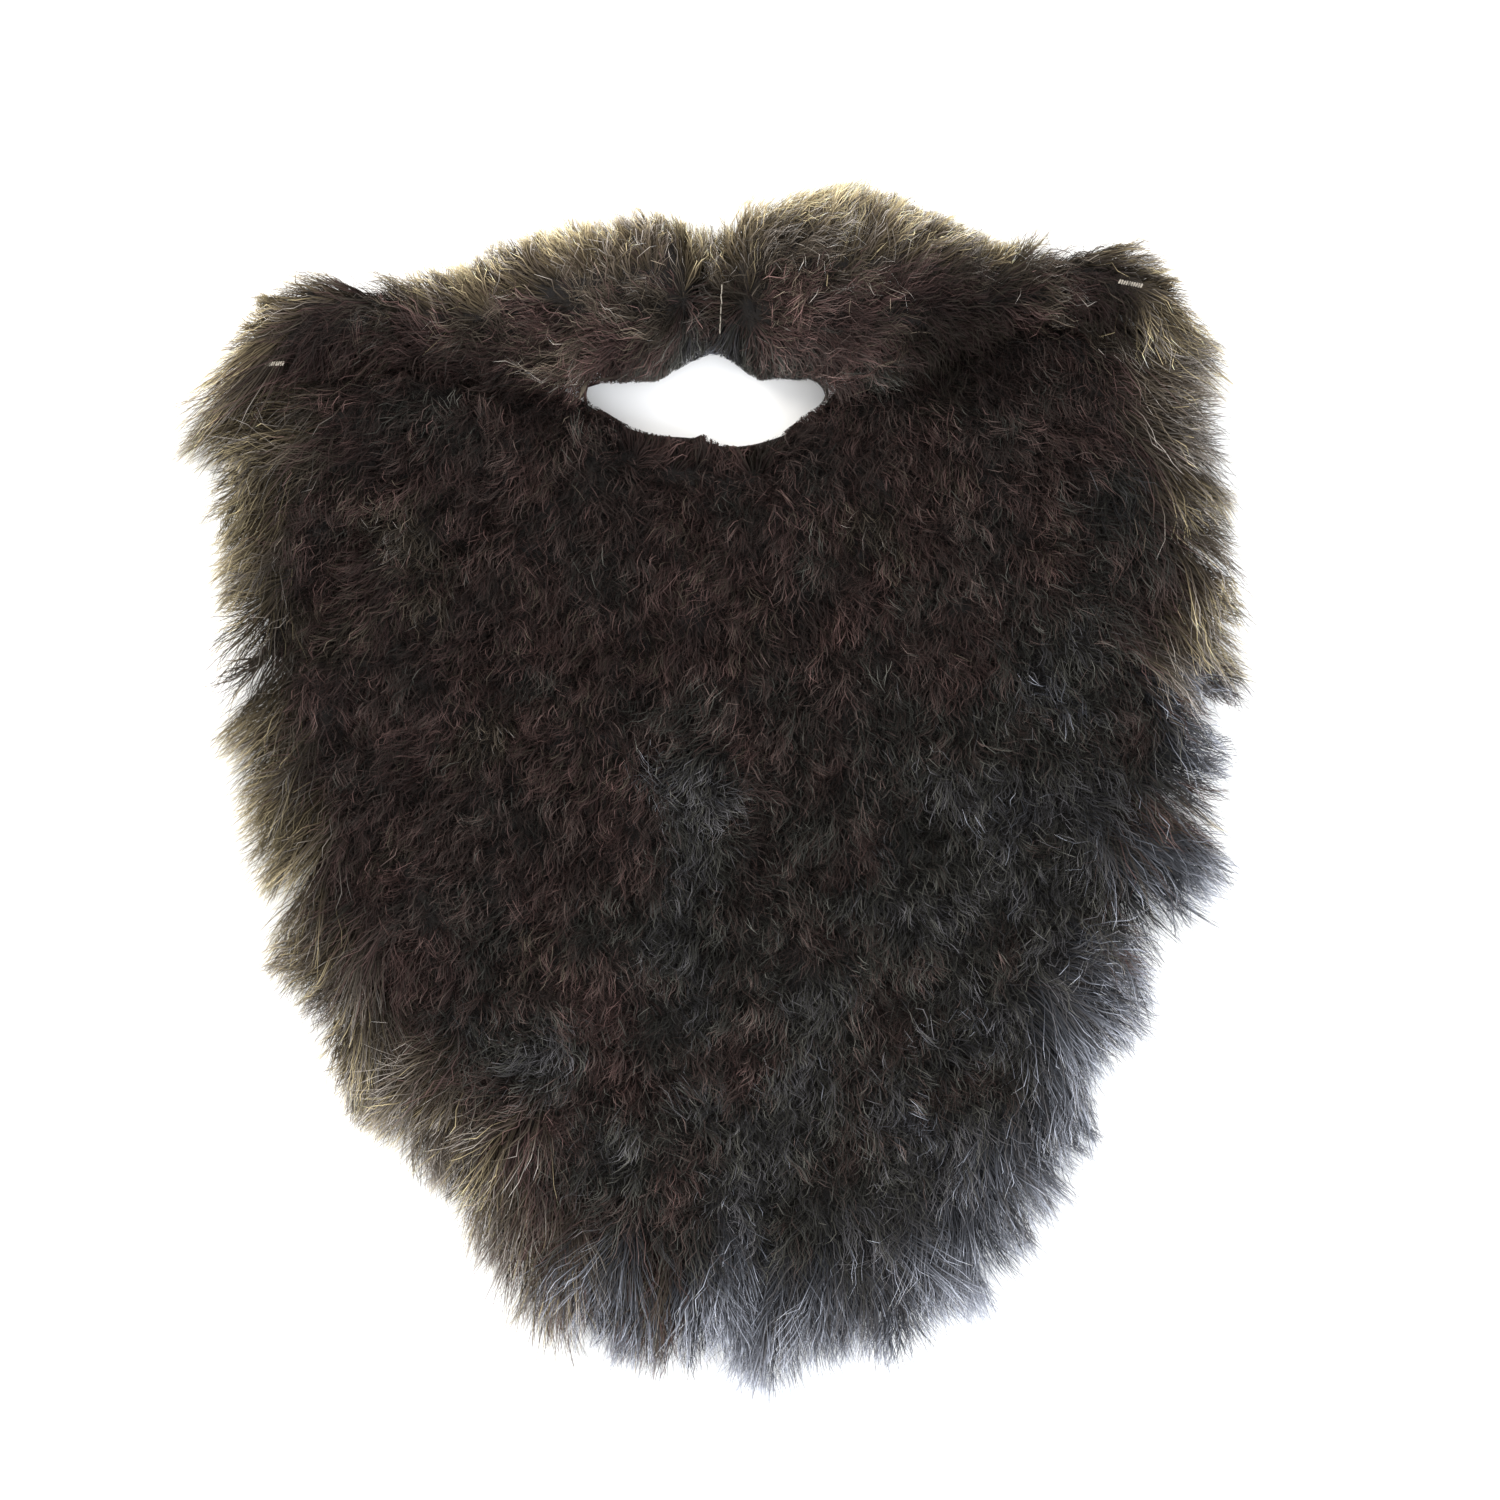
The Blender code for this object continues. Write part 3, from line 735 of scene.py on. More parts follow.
def hair_blank():
    """The ribbon that every hair starts from, with its places along and across it."""
    along = [t for t in STRAND_STATIONS for _ in (0, 1)] + [1.0]
    across = [-0.5, 0.5] * len(STRAND_STATIONS) + [0.0]
    rows = range(len(STRAND_STATIONS) - 1)
    faces = [(2 * i, 2 * i + 1, 2 * i + 3, 2 * i + 2) for i in rows]
    last = 2 * len(STRAND_STATIONS)
    faces.append((last - 2, last - 1, last))
    mesh = bpy.data.meshes.new("hair_blank")
    mesh.from_pydata([(a * MM, 0, t * MM) for a, t in zip(across, along)], [], faces)
    for name, values in (("along", along), ("across", across)):
        mesh.attributes.new(name, "FLOAT", "POINT").data.foreach_set("value", values)
    return bpy.data.objects.new("hair_blank", mesh)


def new_tree(name, grows_on, inputs, makes):
    """A geometry tree with named inputs: its nodes, what it grows on, and its inputs' wires."""
    tree = bpy.data.node_groups.new(name, "GeometryNodeTree")
    tree.interface.new_socket(grows_on, in_out="INPUT", socket_type="NodeSocketGeometry")
    for socket, kind in inputs.items():
        tree.interface.new_socket(socket, in_out="INPUT", socket_type=kind)
    tree.interface.new_socket(makes, in_out="OUTPUT", socket_type="NodeSocketGeometry")
    nodes = Nodes(tree)
    ground = nodes.add("NodeGroupInput")
    return nodes, ground, {socket: ground.output(socket) for socket in inputs}


def grow(piece, tree, values):
    """Put a tree on the piece with its inputs set, and leave the piece with its plain mesh."""
    growth = piece.modifiers.new(tree.name, "NODES")
    growth.node_group = tree
    for item in tree.interface.items_tree:
        if item.in_out == "INPUT" and item.name in values:
            growth[item.identifier] = values[item.name]
    take_plain_mesh(piece)


def fur_tree():
    nodes, skin, given = new_tree("pile_hair", "Skin", FUR_INPUTS, "Fur")

    def read(name, kind="FLOAT"):
        settings = {"data_type": kind}
        return nodes.add("GeometryNodeInputNamedAttribute", settings, {"Name": name})

    def write(geometry, name, kind, value, domain="POINT"):
        settings = {"data_type": kind, "domain": domain}
        inputs = {"Geometry": geometry, "Name": name, "Value": value}
        return nodes.add("GeometryNodeStoreNamedAttribute", settings, inputs)

    def random_vector(turn):
        settings = {"data_type": "FLOAT_VECTOR"}
        inputs = {0: (0.0, 0.0, 0.0), 1: (1.0, 1.0, 1.0), 8: given["Seed"] + float(turn)}
        return nodes.add("FunctionNodeRandomValue", settings, inputs)

    scatter = nodes.add(
        "GeometryNodeDistributePointsOnFaces",
        {"distribute_method": "RANDOM"},
        {"Mesh": skin, "Density": given["Hairs"] * read("thick"), "Seed": given["Seed"]},
    )
    points = write(scatter, "root", "FLOAT_VECTOR", nodes.add("GeometryNodeInputPosition"))
    points = write(points, "out", "FLOAT_VECTOR", scatter.output("Normal"))
    points = write(points, "chance", "FLOAT_VECTOR", random_vector(1))
    points = write(points, "chance_too", "FLOAT_VECTOR", random_vector(2))
    blank = nodes.add("GeometryNodeObjectInfo", None, {"Object": given["Hair"]}, "Geometry")
    hairs = nodes.add("GeometryNodeInstanceOnPoints", None, {"Points": points, "Instance": blank})
    hairs = nodes.add("GeometryNodeRealizeInstances", None, {"Geometry": hairs})

    root, out, lay = (read(name, "FLOAT_VECTOR") for name in ("root", "out", "lay"))
    along, across = read("along"), read("across")
    chance = nodes.add("ShaderNodeSeparateXYZ", None, {0: read("chance", "FLOAT_VECTOR")})
    chance_too = nodes.add("ShaderNodeSeparateXYZ", None, {0: read("chance_too", "FLOAT_VECTOR")})
    voronoi = "ShaderNodeTexVoronoi"
    wisp = nodes.add(voronoi, None, {"Vector": root, "Scale": 1.0 / given["Wisp"]})
    tress = nodes.add(voronoi, None, {"Vector": root, "Scale": 1.0 / given["Tress"]})
    wisp_luck = nodes.add("ShaderNodeSeparateXYZ", None, {0: wisp.output("Color")})
    tress_luck = nodes.add("ShaderNodeSeparateXYZ", None, {0: tress.output("Color")})

    fuzz = chance_too.output(2).math("GREATER_THAN", 1.0 - given["Fuzz"])
    full = read("full")
    short = 0.6 + chance ** 3.0 * 0.46
    length = lay.vector("LENGTH").output("Value") * (short + (0.84 + chance * 0.2 - short) * full)
    length = length * (1.0 - fuzz * 0.25) * (1.0 + (tress_luck - 0.5) * 0.28 * (1.0 - full))
    ahead = lay.vector("NORMALIZE")
    side = ahead.vector("CROSS_PRODUCT", out).vector("NORMALIZE")
    up = side.vector("CROSS_PRODUCT", ahead).vector("NORMALIZE")
    loose = read("loose")
    turned = (tress_luck - 0.5) * given["Splay"] * 0.7 + (wisp_luck - 0.5) * given["Splay"] * 1.3
    turned = turned + (chance_too - 0.5) * (given["Splay"] * 0.35 + fuzz * 2.0)
    bent = (wisp_luck.output(1) - 0.5) * given["Bend"] + (chance.output(1) - 0.5) * 0.3
    angle = (turned + bent * along) * loose
    waves = length * along / given["Curl Length"] + wisp_luck.output(2) * 3.0
    phase = (waves + chance.output(2) * (0.25 + fuzz)) * math.tau
    swing = given["Curl"] * (0.2 + along * 1.1) * (0.5 + wisp_luck * 0.9) * (0.45 + loose * 0.55)
    raised = 0.35 + tress_luck.output(1) * 0.7 + wisp_luck.output(1) * 0.7
    arch = along * (1.35 - along) * given["Lift"] * raised
    gather = (wisp.output("Position") - root) * (given["Gather"] * along ** 1.2 * (1.0 - fuzz * 0.8))
    sideways = swing * phase.math("SINE")
    run = length * along
    cosine, sine = angle.math("COSINE"), angle.math("SINE")
    centre = root + ahead * (run * cosine - sideways * sine) + side * (run * sine + sideways * cosine)
    centre = centre + up * (swing * 0.7 * phase.math("COSINE")) + out * arch
    centre = centre + gather
    roll = (chance_too.output(1) - 0.5) * 2.4
    edge = side * roll.math("COSINE") + up * roll.math("SINE")
    breadth = across * given["Width"] * (1.0 - along * 0.75) * (0.7 + chance_too.output(2) * 0.6)
    placed = nodes.add("ShaderNodeSeparateXYZ", None, {0: centre + edge * breadth})
    height = placed.output(2).math("MAXIMUM", given["Lowest"])
    opening = nodes.add("GeometryNodeObjectInfo", None, {"Object": given["Opening"]}, "Geometry")
    flat = nodes.add("ShaderNodeCombineXYZ", None, {0: placed, 1: placed.output(1)})
    above = flat + (0.0, 0.0, OVERHEAD)
    inputs = {"Target Geometry": opening, "Source Position": above, "Ray Direction": (0.0, 0.0, -1.0)}
    within = nodes.add("GeometryNodeRaycast", None, inputs)
    inputs = {0: opening, "Source Position": flat}
    brink = nodes.add("GeometryNodeProximity", {"target_element": "EDGES"}, inputs)
    back = (brink - flat) + (brink - flat).vector("NORMALIZE") * (chance * given["Width"] * 5.0)
    placed = flat + back * within
    placed = nodes.add("ShaderNodeSeparateXYZ", None, {0: placed})
    placed = nodes.add("ShaderNodeCombineXYZ", None, {0: placed, 1: placed.output(1), 2: height})
    hairs = nodes.add("GeometryNodeSetPosition", None, {"Geometry": hairs, "Position": placed})

    hue = read("hue") + (tress_luck.output(2) - 0.5) * 0.16 + (chance.output(1) - 0.5) * 0.16
    shade = read("light") + (wisp_luck.output(1) - 0.5) * 0.55 + (chance_too - 0.5) * 0.45
    hue = hue.math("MAXIMUM", 0.0).math("MINIMUM", 0.999) * float(MAP_HUES)
    shade = shade.math("MAXIMUM", 0.0).math("MINIMUM", 0.999) * float(MAP_SHADES)
    column = hue.math("FLOOR") * float(MAP_SHADES) + shade.math("FLOOR")
    column = (column + 0.5 + across * 0.5) / float(MAP_HUES * MAP_SHADES)
    place = nodes.add("ShaderNodeCombineXYZ", None, {0: column, 1: along * 0.96 + 0.02})
    hairs = write(hairs, "OFBake", "FLOAT2", place, "CORNER")
    inputs = {"Geometry": hairs, "Material": given["Finish"]}
    hairs = nodes.add("GeometryNodeSetMaterial", None, inputs)
    nodes.add("NodeGroupOutput", None, {0: hairs})
    return nodes.tree


def even_ramp(nodes, value, colours):
    """A colour ramp through the colours, evenly spaced."""
    last = len(colours) - 1
    between = [(i / last, colours[i]) for i in range(1, last)]
    return ramp(nodes, value, [(0, colours[0]), (1, colours[-1])] + between)


def fur_material(name, bodies, tips, brightness):
    """Hair whose tint is read from its own map: hue and shade across, root to tip along."""
    material, shader, nodes = new_material(name, Roughness=0.62)
    shader.inputs["Specular IOR Level"].default_value = 0.08
    place = nodes.add("ShaderNodeUVMap", {"uv_map": "OFBake"})
    split = nodes.add("ShaderNodeSeparateXYZ", None, {0: place})
    bands = split * float(MAP_HUES)
    hue = bands.math("FLOOR") / (MAP_HUES - 1.0)
    shade = (bands.math("FRACT") * float(MAP_SHADES)).math("FLOOR") / (MAP_SHADES - 1.0)
    body, tip = (even_ramp(nodes, hue, colours) for colours in (bodies, tips))
    along = split.output(1)
    # Painted shade deep in the pile: each hair darker toward its root.
    depth = ramp(nodes, along, [(0.0, (0.18,) * 3), (1.0, (1.0,) * 3), (0.45, (0.65,) * 3)])
    turn = ramp(nodes, along, [(0.45, (0.0,) * 3), (1.0, (1.0,) * 3), (0.75, (0.35,) * 3)])
    tint = body + (tip - body).vector("MULTIPLY", turn)
    # Lightness spreads wider toward the tips, so the painted rim light glows at the hairs' ends.
    gain = (along * along * 3.6 + 1.7) * math.log(2.0)
    strength = ((shade - 0.5) * gain).math("EXPONENT") * brightness
    colour = tint.vector("MULTIPLY", depth).scaled(strength).vector("MINIMUM", (0.75, 0.75, 0.75))
    nodes.tree.links.new(colour.socket, shader.inputs["Base Color"])
    return material


def part_of(core, name, keeps):
    """A copy of the part of a core's skin whose face middles pass the test."""
    bm = bmesh.new()
    bm.from_mesh(core.data)
    outside = [f for f in bm.faces if not keeps(f.calc_center_median() / MM)]
    bmesh.ops.delete(bm, geom=outside, context="FACES")
    mesh = bpy.data.meshes.new(name)
    bm.to_mesh(mesh)
    bm.free()
    return new_piece(name, mesh)


COMB_WORDS = "root out chance chance_too lay hue light thick loose full along across id".split()


def drop_comb(mesh):
    """Take off what only the combing and growing needed."""
    for word in COMB_WORDS:
        if word in mesh.attributes:
            mesh.attributes.remove(mesh.attributes[word])


def clear_mouth(mesh):
    """Drop the few hairs that still cross the mouth from one edge to the other."""
    size = 2 * len(STRAND_STATIONS) + 1
    places = np.empty(len(mesh.vertices) * 3)
    mesh.vertices.foreach_get("co", places)
    hairs = places.reshape(-1, size, 3)[:, :, :2] / MM
    starts, ends = hairs[:, :-2:2], hairs[:, 2::2]
    crossing = np.zeros(len(hairs), bool)
    low_x, low_y = np.array(MOUTH_LOW).T
    top_x, top_y = np.array(MOUTH_TOP).T
    for share in (0.25, 0.5, 0.75):
        spots = starts * (1 - share) + ends * share
        x, y = spots[..., 0], spots[..., 1]
        over = (x > low_x[0]) & (x < low_x[-1])
        over &= y > np.interp(x, low_x, low_y) + MOUTH_SLACK
        over &= y < np.interp(x, top_x, top_y) - MOUTH_SLACK
        crossing |= over.any(1)
    bm = bmesh.new()
    bm.from_mesh(mesh)
    bm.verts.ensure_lookup_table()
    lost = [bm.verts[i * size + k] for i in np.nonzero(crossing)[0] for k in range(size)]
    bmesh.ops.delete(bm, geom=lost, context="VERTS")
    bm.to_mesh(mesh)
    bm.free()


def grow_fur(core, name, keeps, seed, **sizes):
    """Hair on one part of a core, as a plain mesh that keeps only its map."""
    fur = part_of(core, name, keeps)
    grow(fur, pile_hair, {"Hair": blank_hair, "Opening": mouth, "Seed": seed, **sizes})
    drop_comb(fur.data)
    clear_mouth(fur.data)
    return fur


BEARD_BODIES = [
    (0.155, 0.120, 0.075),
    (0.108, 0.083, 0.060),
    (0.098, 0.078, 0.060),
    (0.114, 0.068, 0.062),
    (0.094, 0.067, 0.060),
    (0.082, 0.080, 0.070),
    (0.094, 0.090, 0.094),
    (0.105, 0.110, 0.128),
]
# The palest tips, first, second and last, carry the painted rim light: warm glow at the upper left and
# sides, cold at the lower right.
BEARD_TIPS = [
    (0.95, 0.80, 0.48),
    (0.70, 0.65, 0.61),
    (0.22, 0.180, 0.135),
    (0.205, 0.125, 0.114),
    (0.170, 0.124, 0.110),
    (0.155, 0.153, 0.133),
    (0.215, 0.208, 0.222),
    (0.78, 0.82, 0.95),
]
BEARD_FUR = {
    "Hairs": 2.0e6,
    "Width": 0.31 * MM,
    "Wisp": 3.6 * MM,
    "Tress": 10.0 * MM,
    "Gather": 0.8,
    "Splay": 1.9,
    "Bend": 1.6,
    "Curl": 1.4 * MM,
    "Curl Length": 7.5 * MM,
    "Lift": 6.5 * MM,
    "Lowest": 0.5 * MM,
    "Fuzz": 0.4,
}
BEARD_SEED = 11
BEARD_TONE = 0.275
root_shade_finish = root_shade_material()
beard_finish = fur_material("beard_hair", BEARD_BODIES, BEARD_TIPS, BEARD_TONE)
blank_hair = hair_blank()
mouth_mesh = bpy.data.meshes.new("mouth")
mouth_ring = [*MOUTH_TOP, *MOUTH_LOW[-2:0:-1]]
mouth_mesh.from_pydata([(x * MM, y * MM, 0) for x, y in mouth_ring], [], [range(len(mouth_ring))])
mouth = bpy.data.objects.new("mouth", mouth_mesh)
reach = Reach(FRINGE, mouth_ring)
pile_hair = fur_tree()
panel_relief = Relief(["beard_panel"])
whole_relief = Relief(["beard_panel", "moustache_left", "moustache_right"])
backing_top = BACKING_LOW + BACKING_THICK
beard_roots = root_core("beard_roots", "beard_panel", backing_top, CORE_INSET, root_shade_finish)
comb(beard_roots, panel_relief, whole_relief, comb_beard, PANEL_HAIR, RIM_HAIR, PANEL_ROOTS_LOW)
BEARD_PARTS = {
    "beard_fur_cheek_left": lambda p: p.x < 0 and p.y >= 50,
    "beard_fur_cheek_right": lambda p: p.x >= 0 and p.y >= 50,
    "beard_fur_jaw_left": lambda p: p.x < 0 and -25 <= p.y < 50,
    "beard_fur_jaw_right": lambda p: p.x >= 0 and -25 <= p.y < 50,
    "beard_fur_chin_left": lambda p: p.x < 0 and p.y < -25,
    "beard_fur_chin_right": lambda p: p.x >= 0 and p.y < -25,
}
beard_fur = [
    grow_fur(beard_roots, name, keeps, seed, Finish=beard_finish, **BEARD_FUR)
    for seed, (name, keeps) in enumerate(BEARD_PARTS.items(), BEARD_SEED)
]
drop_comb(beard_roots.data)
area, width, length = spread(panel_outline)
for piece in (beard_backing, beard_roots, *beard_fur):
    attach(piece, "root")
    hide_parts("beard_panel")
width * MM
length * MM
area * MM * MM


# The moustache is two narrow strips of the same fur on their own knit, brushed up and outwards
# from the seam in the middle and sewn down at the two corners of the beard.
Section = namedtuple("Section", "x top bottom")
MOUSTACHE_LEFT = [
    Section(-1.65, 133, 113), Section(-12, 143, 106), Section(-24, 140, 103),
    Section(-40, 137, 101), Section(-54, 131, 102), Section(-67, 126, 105),
    Section(-80, 126, 108), Section(-93, 126, 108), Section(-104, 125, 106),
    Section(-113, 121, 103), Section(-119, 114, 102),
]
MOUSTACHE_RIGHT = [
    Section(-1.35, 133, 113), Section(10, 143, 106), Section(24, 148, 102),
    Section(38, 148, 102), Section(50, 144, 107), Section(62, 138, 112),
    Section(74, 134, 117), Section(87, 135, 118), Section(99, 134, 117),
    Section(109, 131, 115), Section(117, 124, 110),
]
STRIP_LOW = 2.0
STRIP_TUCK = 0.24
STRIP_END_TUCK = 5.0
STRIP_INSET = 3.2
STRIP_ROOTS_LOW = 3.0
MOUSTACHE_HAIR = 15.0
MOUSTACHE_RIM_HAIR = 21.0
Sweep = namedtuple("Sweep", "share lobe tail")
MOUSTACHE_SWEEP = [
    Sweep(0.0, -58, -72), Sweep(0.16, -30, -62), Sweep(0.4, 18, -45), Sweep(0.7, 44, -8),
    Sweep(1.0, 54, 32),
]
SEAM_REACH = 14.0
WINGS = {-1: (-144, 82), 1: (131, 96)}


def edge_at(sections, x):
    """The strip's top and bottom edges at a place across the face."""
    ordered = sorted(sections, key=lambda s: s.x)
    xs = [s.x for s in ordered]
    top = np.interp(x, xs, [s.top for s in ordered])
    bottom = np.interp(x, xs, [s.bottom for s in ordered])
    return float(top), float(bottom)


def comb_moustache(sections, side):
    """The combing of one half of the moustache, as comb_beard is for the panel."""

    def lay_at(x, y):
        top, bottom = edge_at(sections, x)
        up = min(max((y - bottom) / (top - bottom), 0.0), 1.0)
        tail = blend(55, 95, abs(x))
        places = [s.share for s in MOUSTACHE_SWEEP]
        lobe = np.interp(up, places, [s.lobe for s in MOUSTACHE_SWEEP])
        tuft = np.interp(up, places, [s.tail for s in MOUSTACHE_SWEEP])
        angle = lobe + (tuft - lobe) * tail
        seam = 1 - blend(2, SEAM_REACH, abs(x))
        under = (1 - blend(0.12, 0.28, up)) * (1 - blend(22, 34, abs(x)))
        angle += (-84 - angle) * under
        angle = math.radians(angle + 48 * noise.noise(Vector((x / 12, y / 12, 1.7))))
        way = Vector((side * math.cos(angle), math.sin(angle)))
        across = math.radians(-112 - 140 * blend(0.2, 0.75, up))
        way = way * (1 - seam) + Vector((side * math.cos(across), math.sin(across))) * seam
        # Painted light on the lobes' upper edge, lighter and more golden; the middle of the bottom edge
        # is cooler as painted light through the thin hair over the mouth; the tails are a little
        # lighter.
        fringe = blend(0.45, 0.95, up) * (1 - blend(60, 85, abs(x)))
        hue = 0.37 - 0.22 * fringe - 0.05 * tail + 0.22 * noise.noise(Vector((x / 14, y / 14, 2.2)))
        hue += 0.25 * (1 - blend(0.0, 0.35, up)) * (1 - blend(40, 60, abs(x)))
        light = 0.54 + 0.14 * fringe + 0.08 * tail + 0.2 * noise.noise(Vector((x / 8, y / 8, 4.4)))
        # Painted shade in the seam's crease: darker toward the middle seam.
        hue, light = with_painted_shade_and_light(x, y, hue, light - 0.25 * seam)
        out = blend(94, 108, abs(x)) * (1 - blend(0.35, 0.75, up))
        arm = Vector((WINGS[side][0] - x, WINGS[side][1] - y))
        way = (way.normalized() * (1 - out) + arm.normalized() * out).normalized()
        seam *= 1 - blend(0.6, 0.9, up)
        return way, hue, light, arm.length * out, MOUSTACHE_RIM_HAIR - 12 * seam

    return lay_at


def strip_outline(sections):
    """The strip's knit, drawn in a little from the pile's top and bottom edges."""
    near, far = sections[0].x, sections[-1].x
    away = math.copysign(STRIP_END_TUCK, far - near)
    xs = [near + away, *(s.x for s in sections[1:-2]), far - away]
    edges = [(x, *edge_at(sections, x)) for x in xs]
    upper = [(x, top - (top - bottom) * STRIP_TUCK) for x, top, bottom in edges]
    lower = [(x, bottom + (top - bottom) * STRIP_TUCK) for x, top, bottom in reversed(edges)]
    return upper + lower


MOUSTACHE_FUR = {
    **BEARD_FUR,
    "Hairs": 2.4e6,
    "Splay": 1.5,
    "Lift": 4.6 * MM,
    "Fuzz": 0.25,
}
MOUSTACHE_SEED = 31
# The same fur as the beard, painted about 1.7 times lighter: painted light on the raised moustache.
MOUSTACHE_LIT_TONE = 0.47
moustache_finish = fur_material("moustache_hair", BEARD_BODIES, BEARD_TIPS, MOUSTACHE_LIT_TONE)
for name, sections, side in (("left", MOUSTACHE_LEFT, -1), ("right", MOUSTACHE_RIGHT, 1)):
    node = "moustache_" + name
    outline = strip_outline(sections)
    strip = cut_cloth(f"moustache_backing_{name}", outline, STRIP_LOW, BACKING_THICK, backing_finish)
    strip_top = STRIP_LOW + BACKING_THICK
    roots = root_core(f"moustache_roots_{name}", node, strip_top, STRIP_INSET, root_shade_finish)
    lay_at, lengths = comb_moustache(sections, side), (MOUSTACHE_HAIR, MOUSTACHE_RIM_HAIR)
    comb(roots, Relief([node]), whole_relief, lay_at, *lengths, STRIP_ROOTS_LOW)
    sizes = {"Finish": moustache_finish, **MOUSTACHE_FUR}
    seed = MOUSTACHE_SEED + side
    fur = grow_fur(roots, f"moustache_fur_{name}", lambda p: True, seed, **sizes)
    drop_comb(roots.data)
    area, width, length = spread(outline)
    for piece in (strip, roots, fur):
        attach(piece, "root")
        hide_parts(node)
    width * MM
    length * MM
    area * MM * MM


# Pale polyester thread: a bar tack that holds each outer corner of the moustache down to the
# beard, and the length of the seam's own thread that shows in the crease between its strips.
THREAD_SIDES = 6
THREAD_RINGS = (
    (-0.5, 0.3, 0.0), (-0.4, 0.85, 0.5), (0.0, 1.0, 1.0), (0.4, 0.85, 0.5), (0.5, 0.3, 0.0),
)
THREAD_ARCH = 0.12
THREAD_SWAY = 0.15
THREAD_SEED = 5
Line = namedtuple("Line", "name start end width length pitch lean lift")
THREADS = [
    Line("tack_left", (-113.0, 107.0), (-108.0, 107.0), 0.5, 1.2, 0.6, 1.2, -0.4),
    Line("tack_right", (100.0, 127.0), (105.5, 126.1), 0.5, 1.2, 0.6, 1.2, -0.5),
    Line("thread_middle", (1.25, 125.0), (0.8, 115.5), 0.3, 2.6, 2.2, 0.0, 0.0),
]
STITCH_INPUTS = {
    "Stitch": "NodeSocketObject",
    "Width": "NodeSocketFloat",
    "Length": "NodeSocketFloat",
    "Pitch": "NodeSocketFloat",
    "Lean": "NodeSocketFloat",
    "Sway": "NodeSocketFloat",
    "Seed": "NodeSocketInt",
    "Finish": "NodeSocketMaterial",
}


def stitch_blank():
    """One stitch, 1 long and 1 thick: a short rounded length of thread, a little arched."""
    points = []
    for along, wide, high in THREAD_RINGS:
        for side in range(THREAD_SIDES):
            turn = math.tau * side / THREAD_SIDES
            height = wide * math.sin(turn) / 2 + high * THREAD_ARCH
            points.append((along, wide * math.cos(turn) / 2, height))
    faces = [list(range(THREAD_SIDES))[::-1]]
    for ring in range(len(THREAD_RINGS) - 1):
        for side in range(THREAD_SIDES):
            a, b = ring * THREAD_SIDES + side, ring * THREAD_SIDES + (side + 1) % THREAD_SIDES
            faces.append([a, b, b + THREAD_SIDES, a + THREAD_SIDES])
    faces.append(list(range(len(points) - THREAD_SIDES, len(points))))
    mesh = bpy.data.meshes.new("stitch_blank")
    mesh.from_pydata(points, [], faces)
    bm = bmesh.new()
    bm.from_mesh(mesh)
    bmesh.ops.recalc_face_normals(bm, faces=bm.faces[:])
    bm.to_mesh(mesh)
    bm.free()
    return bpy.data.objects.new("stitch_blank", mesh)


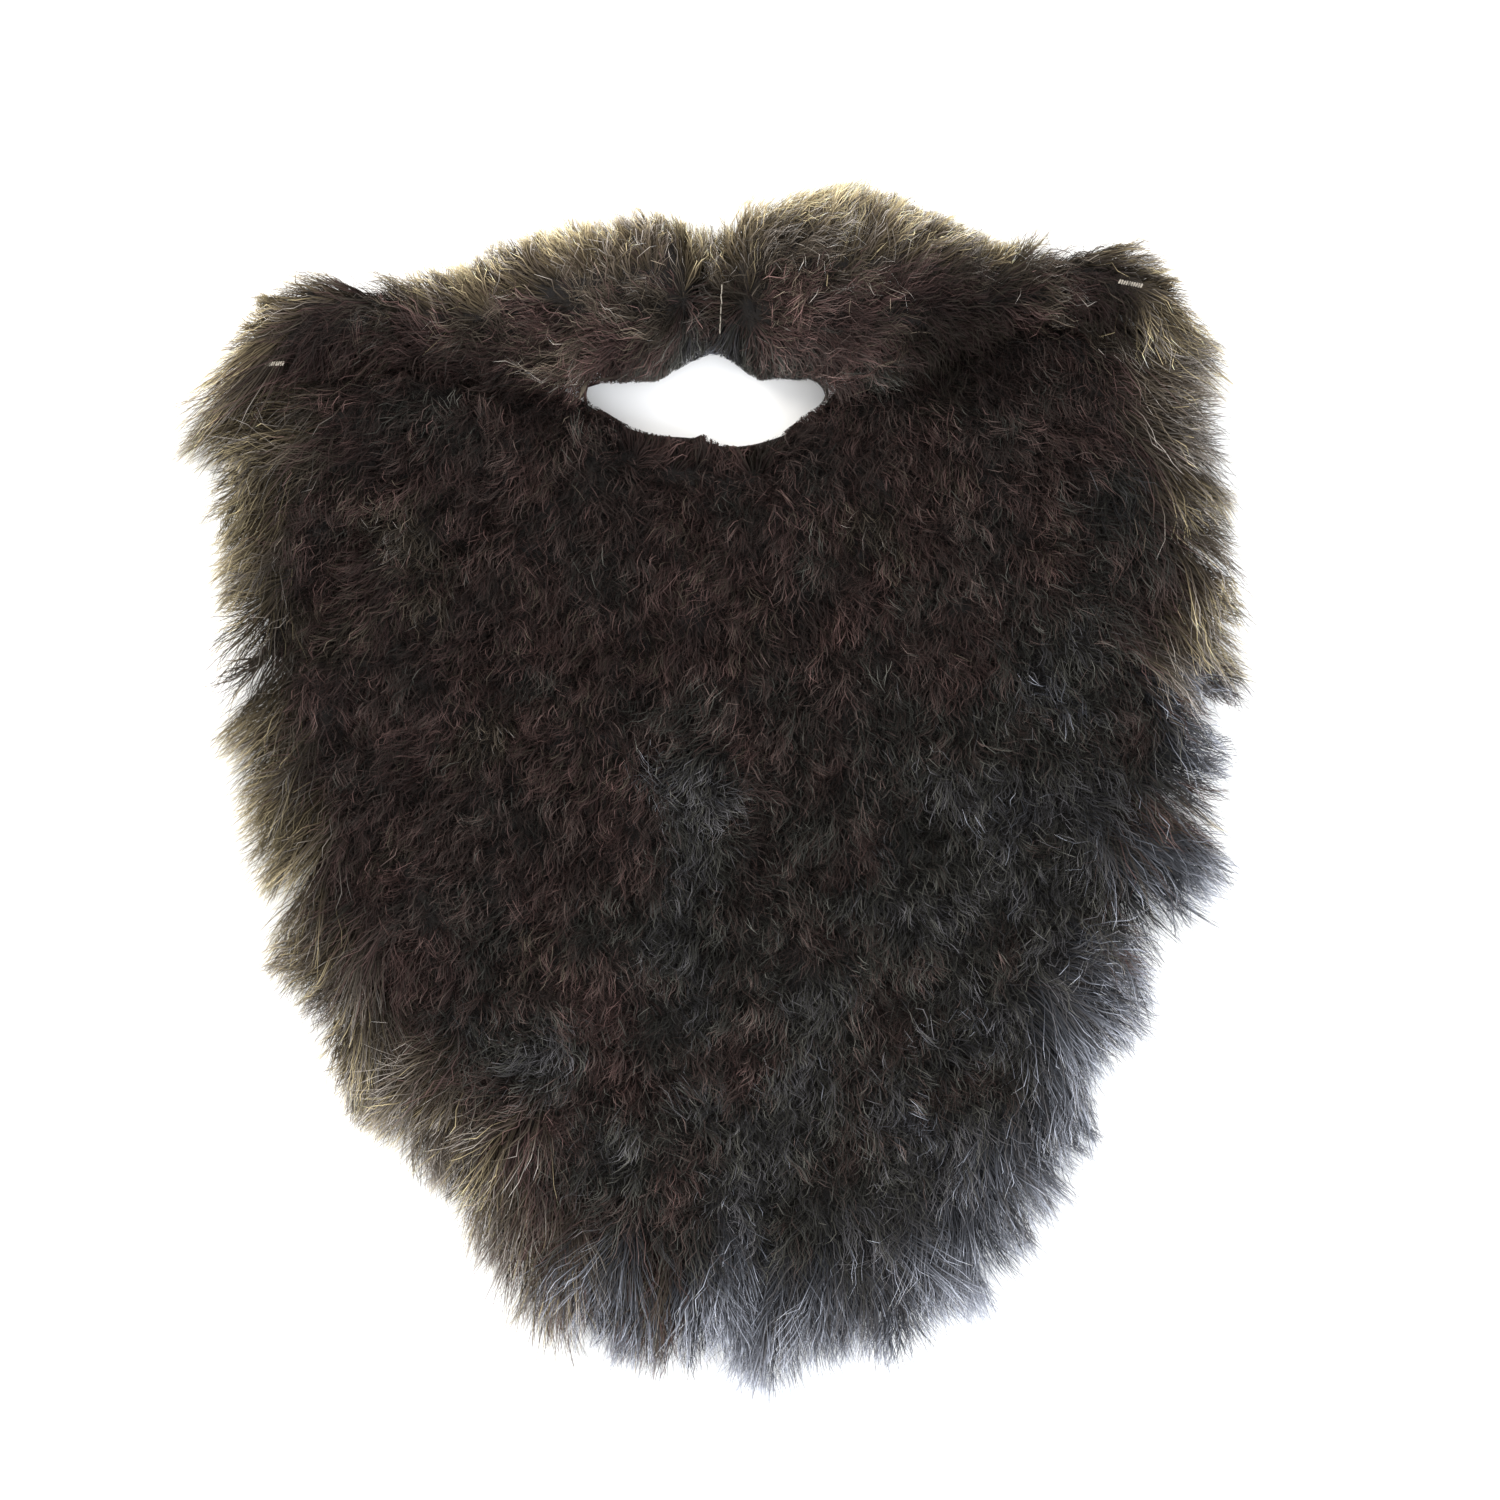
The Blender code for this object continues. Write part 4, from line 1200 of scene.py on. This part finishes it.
def stitch_tree():
    nodes, line, given = new_tree("stitches", "Line", STITCH_INPUTS, "Stitches")
    curve = nodes.add("GeometryNodeMeshToCurve", None, {"Mesh": line})
    inputs = {"Curve": curve, "Length": given["Pitch"]}
    points = nodes.add("GeometryNodeCurveToPoints", {"mode": "LENGTH"}, inputs)
    inputs = {2: given["Sway"] * -1.0, 3: given["Sway"], "Seed": given["Seed"]}
    sway = nodes.add("FunctionNodeRandomValue", {"data_type": "FLOAT"}, inputs, 1)
    inputs = {"Vector": points.output("Tangent"), "Angle": given["Lean"] + sway}
    way = nodes.add("ShaderNodeVectorRotate", {"rotation_type": "Z_AXIS"}, inputs)
    settings = {"axis": "X", "pivot_axis": "Z"}
    turn = nodes.add("FunctionNodeAlignRotationToVector", settings, {"Vector": way})
    blank = nodes.add("GeometryNodeObjectInfo", None, {"Object": given["Stitch"]}, "Geometry")
    size = {0: given["Length"], 1: given["Width"], 2: given["Width"]}
    size = nodes.add("ShaderNodeCombineXYZ", None, size)
    inputs = {"Points": points, "Instance": blank, "Rotation": turn, "Scale": size}
    stitches = nodes.add("GeometryNodeInstanceOnPoints", None, inputs)
    stitches = nodes.add("GeometryNodeRealizeInstances", None, {"Geometry": stitches})
    inputs = {"Geometry": stitches, "Material": given["Finish"]}
    stitches = nodes.add("GeometryNodeSetMaterial", None, inputs)
    nodes.add("NodeGroupOutput", None, {0: stitches})
    return nodes.tree


def sew(name, points, **sizes):
    """A row of stitches along the points (mm), as a plain mesh."""
    mesh = bpy.data.meshes.new(name)
    steps = [(i, i + 1) for i in range(len(points) - 1)]
    mesh.from_pydata([[c * MM for c in p] for p in points], steps, [])
    row = new_piece(name, mesh)
    sizes = {"Sway": THREAD_SWAY, "Seed": THREAD_SEED, **sizes}
    grow(row, stitches_tree, {"Stitch": blank_stitch, "Finish": thread_finish, **sizes})
    return row


thread_finish, thread_shader, nodes = new_material("pale_thread", Roughness=0.6)
place = nodes.add("ShaderNodeTexCoord", output="Object")
twist = nodes.add("ShaderNodeTexNoise", None, {"Vector": place, "Scale": 2600.0, "Detail": 2.0})
# The tint follows the same twist as the bump, darker in its low places: painted shade in its grooves.
tint = ramp(nodes, twist, [(0.3, (0.14, 0.12, 0.10)), (0.7, (0.32, 0.29, 0.24))])
bump = nodes.add("ShaderNodeBump", None, {"Strength": 0.5, "Distance": 0.0002, "Height": twist})
nodes.tree.links.new(tint.socket, thread_shader.inputs["Base Color"])
nodes.tree.links.new(bump.socket, thread_shader.inputs["Normal"])
blank_stitch = stitch_blank()
stitches_tree = stitch_tree()
for row in THREADS:
    ends = [(x, y, whole_relief.at(x, y) + row.lift) for x, y in (row.start, row.end)]
    sizes = {"Width": row.width * MM, "Length": row.length * MM, "Pitch": row.pitch * MM}
    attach(sew(row.name, ends, Lean=row.lean, **sizes), "root")
bpy.data.objects.remove(blank_stitch)

bpy.data.objects.remove(blank_hair)
bpy.data.objects.remove(mouth)
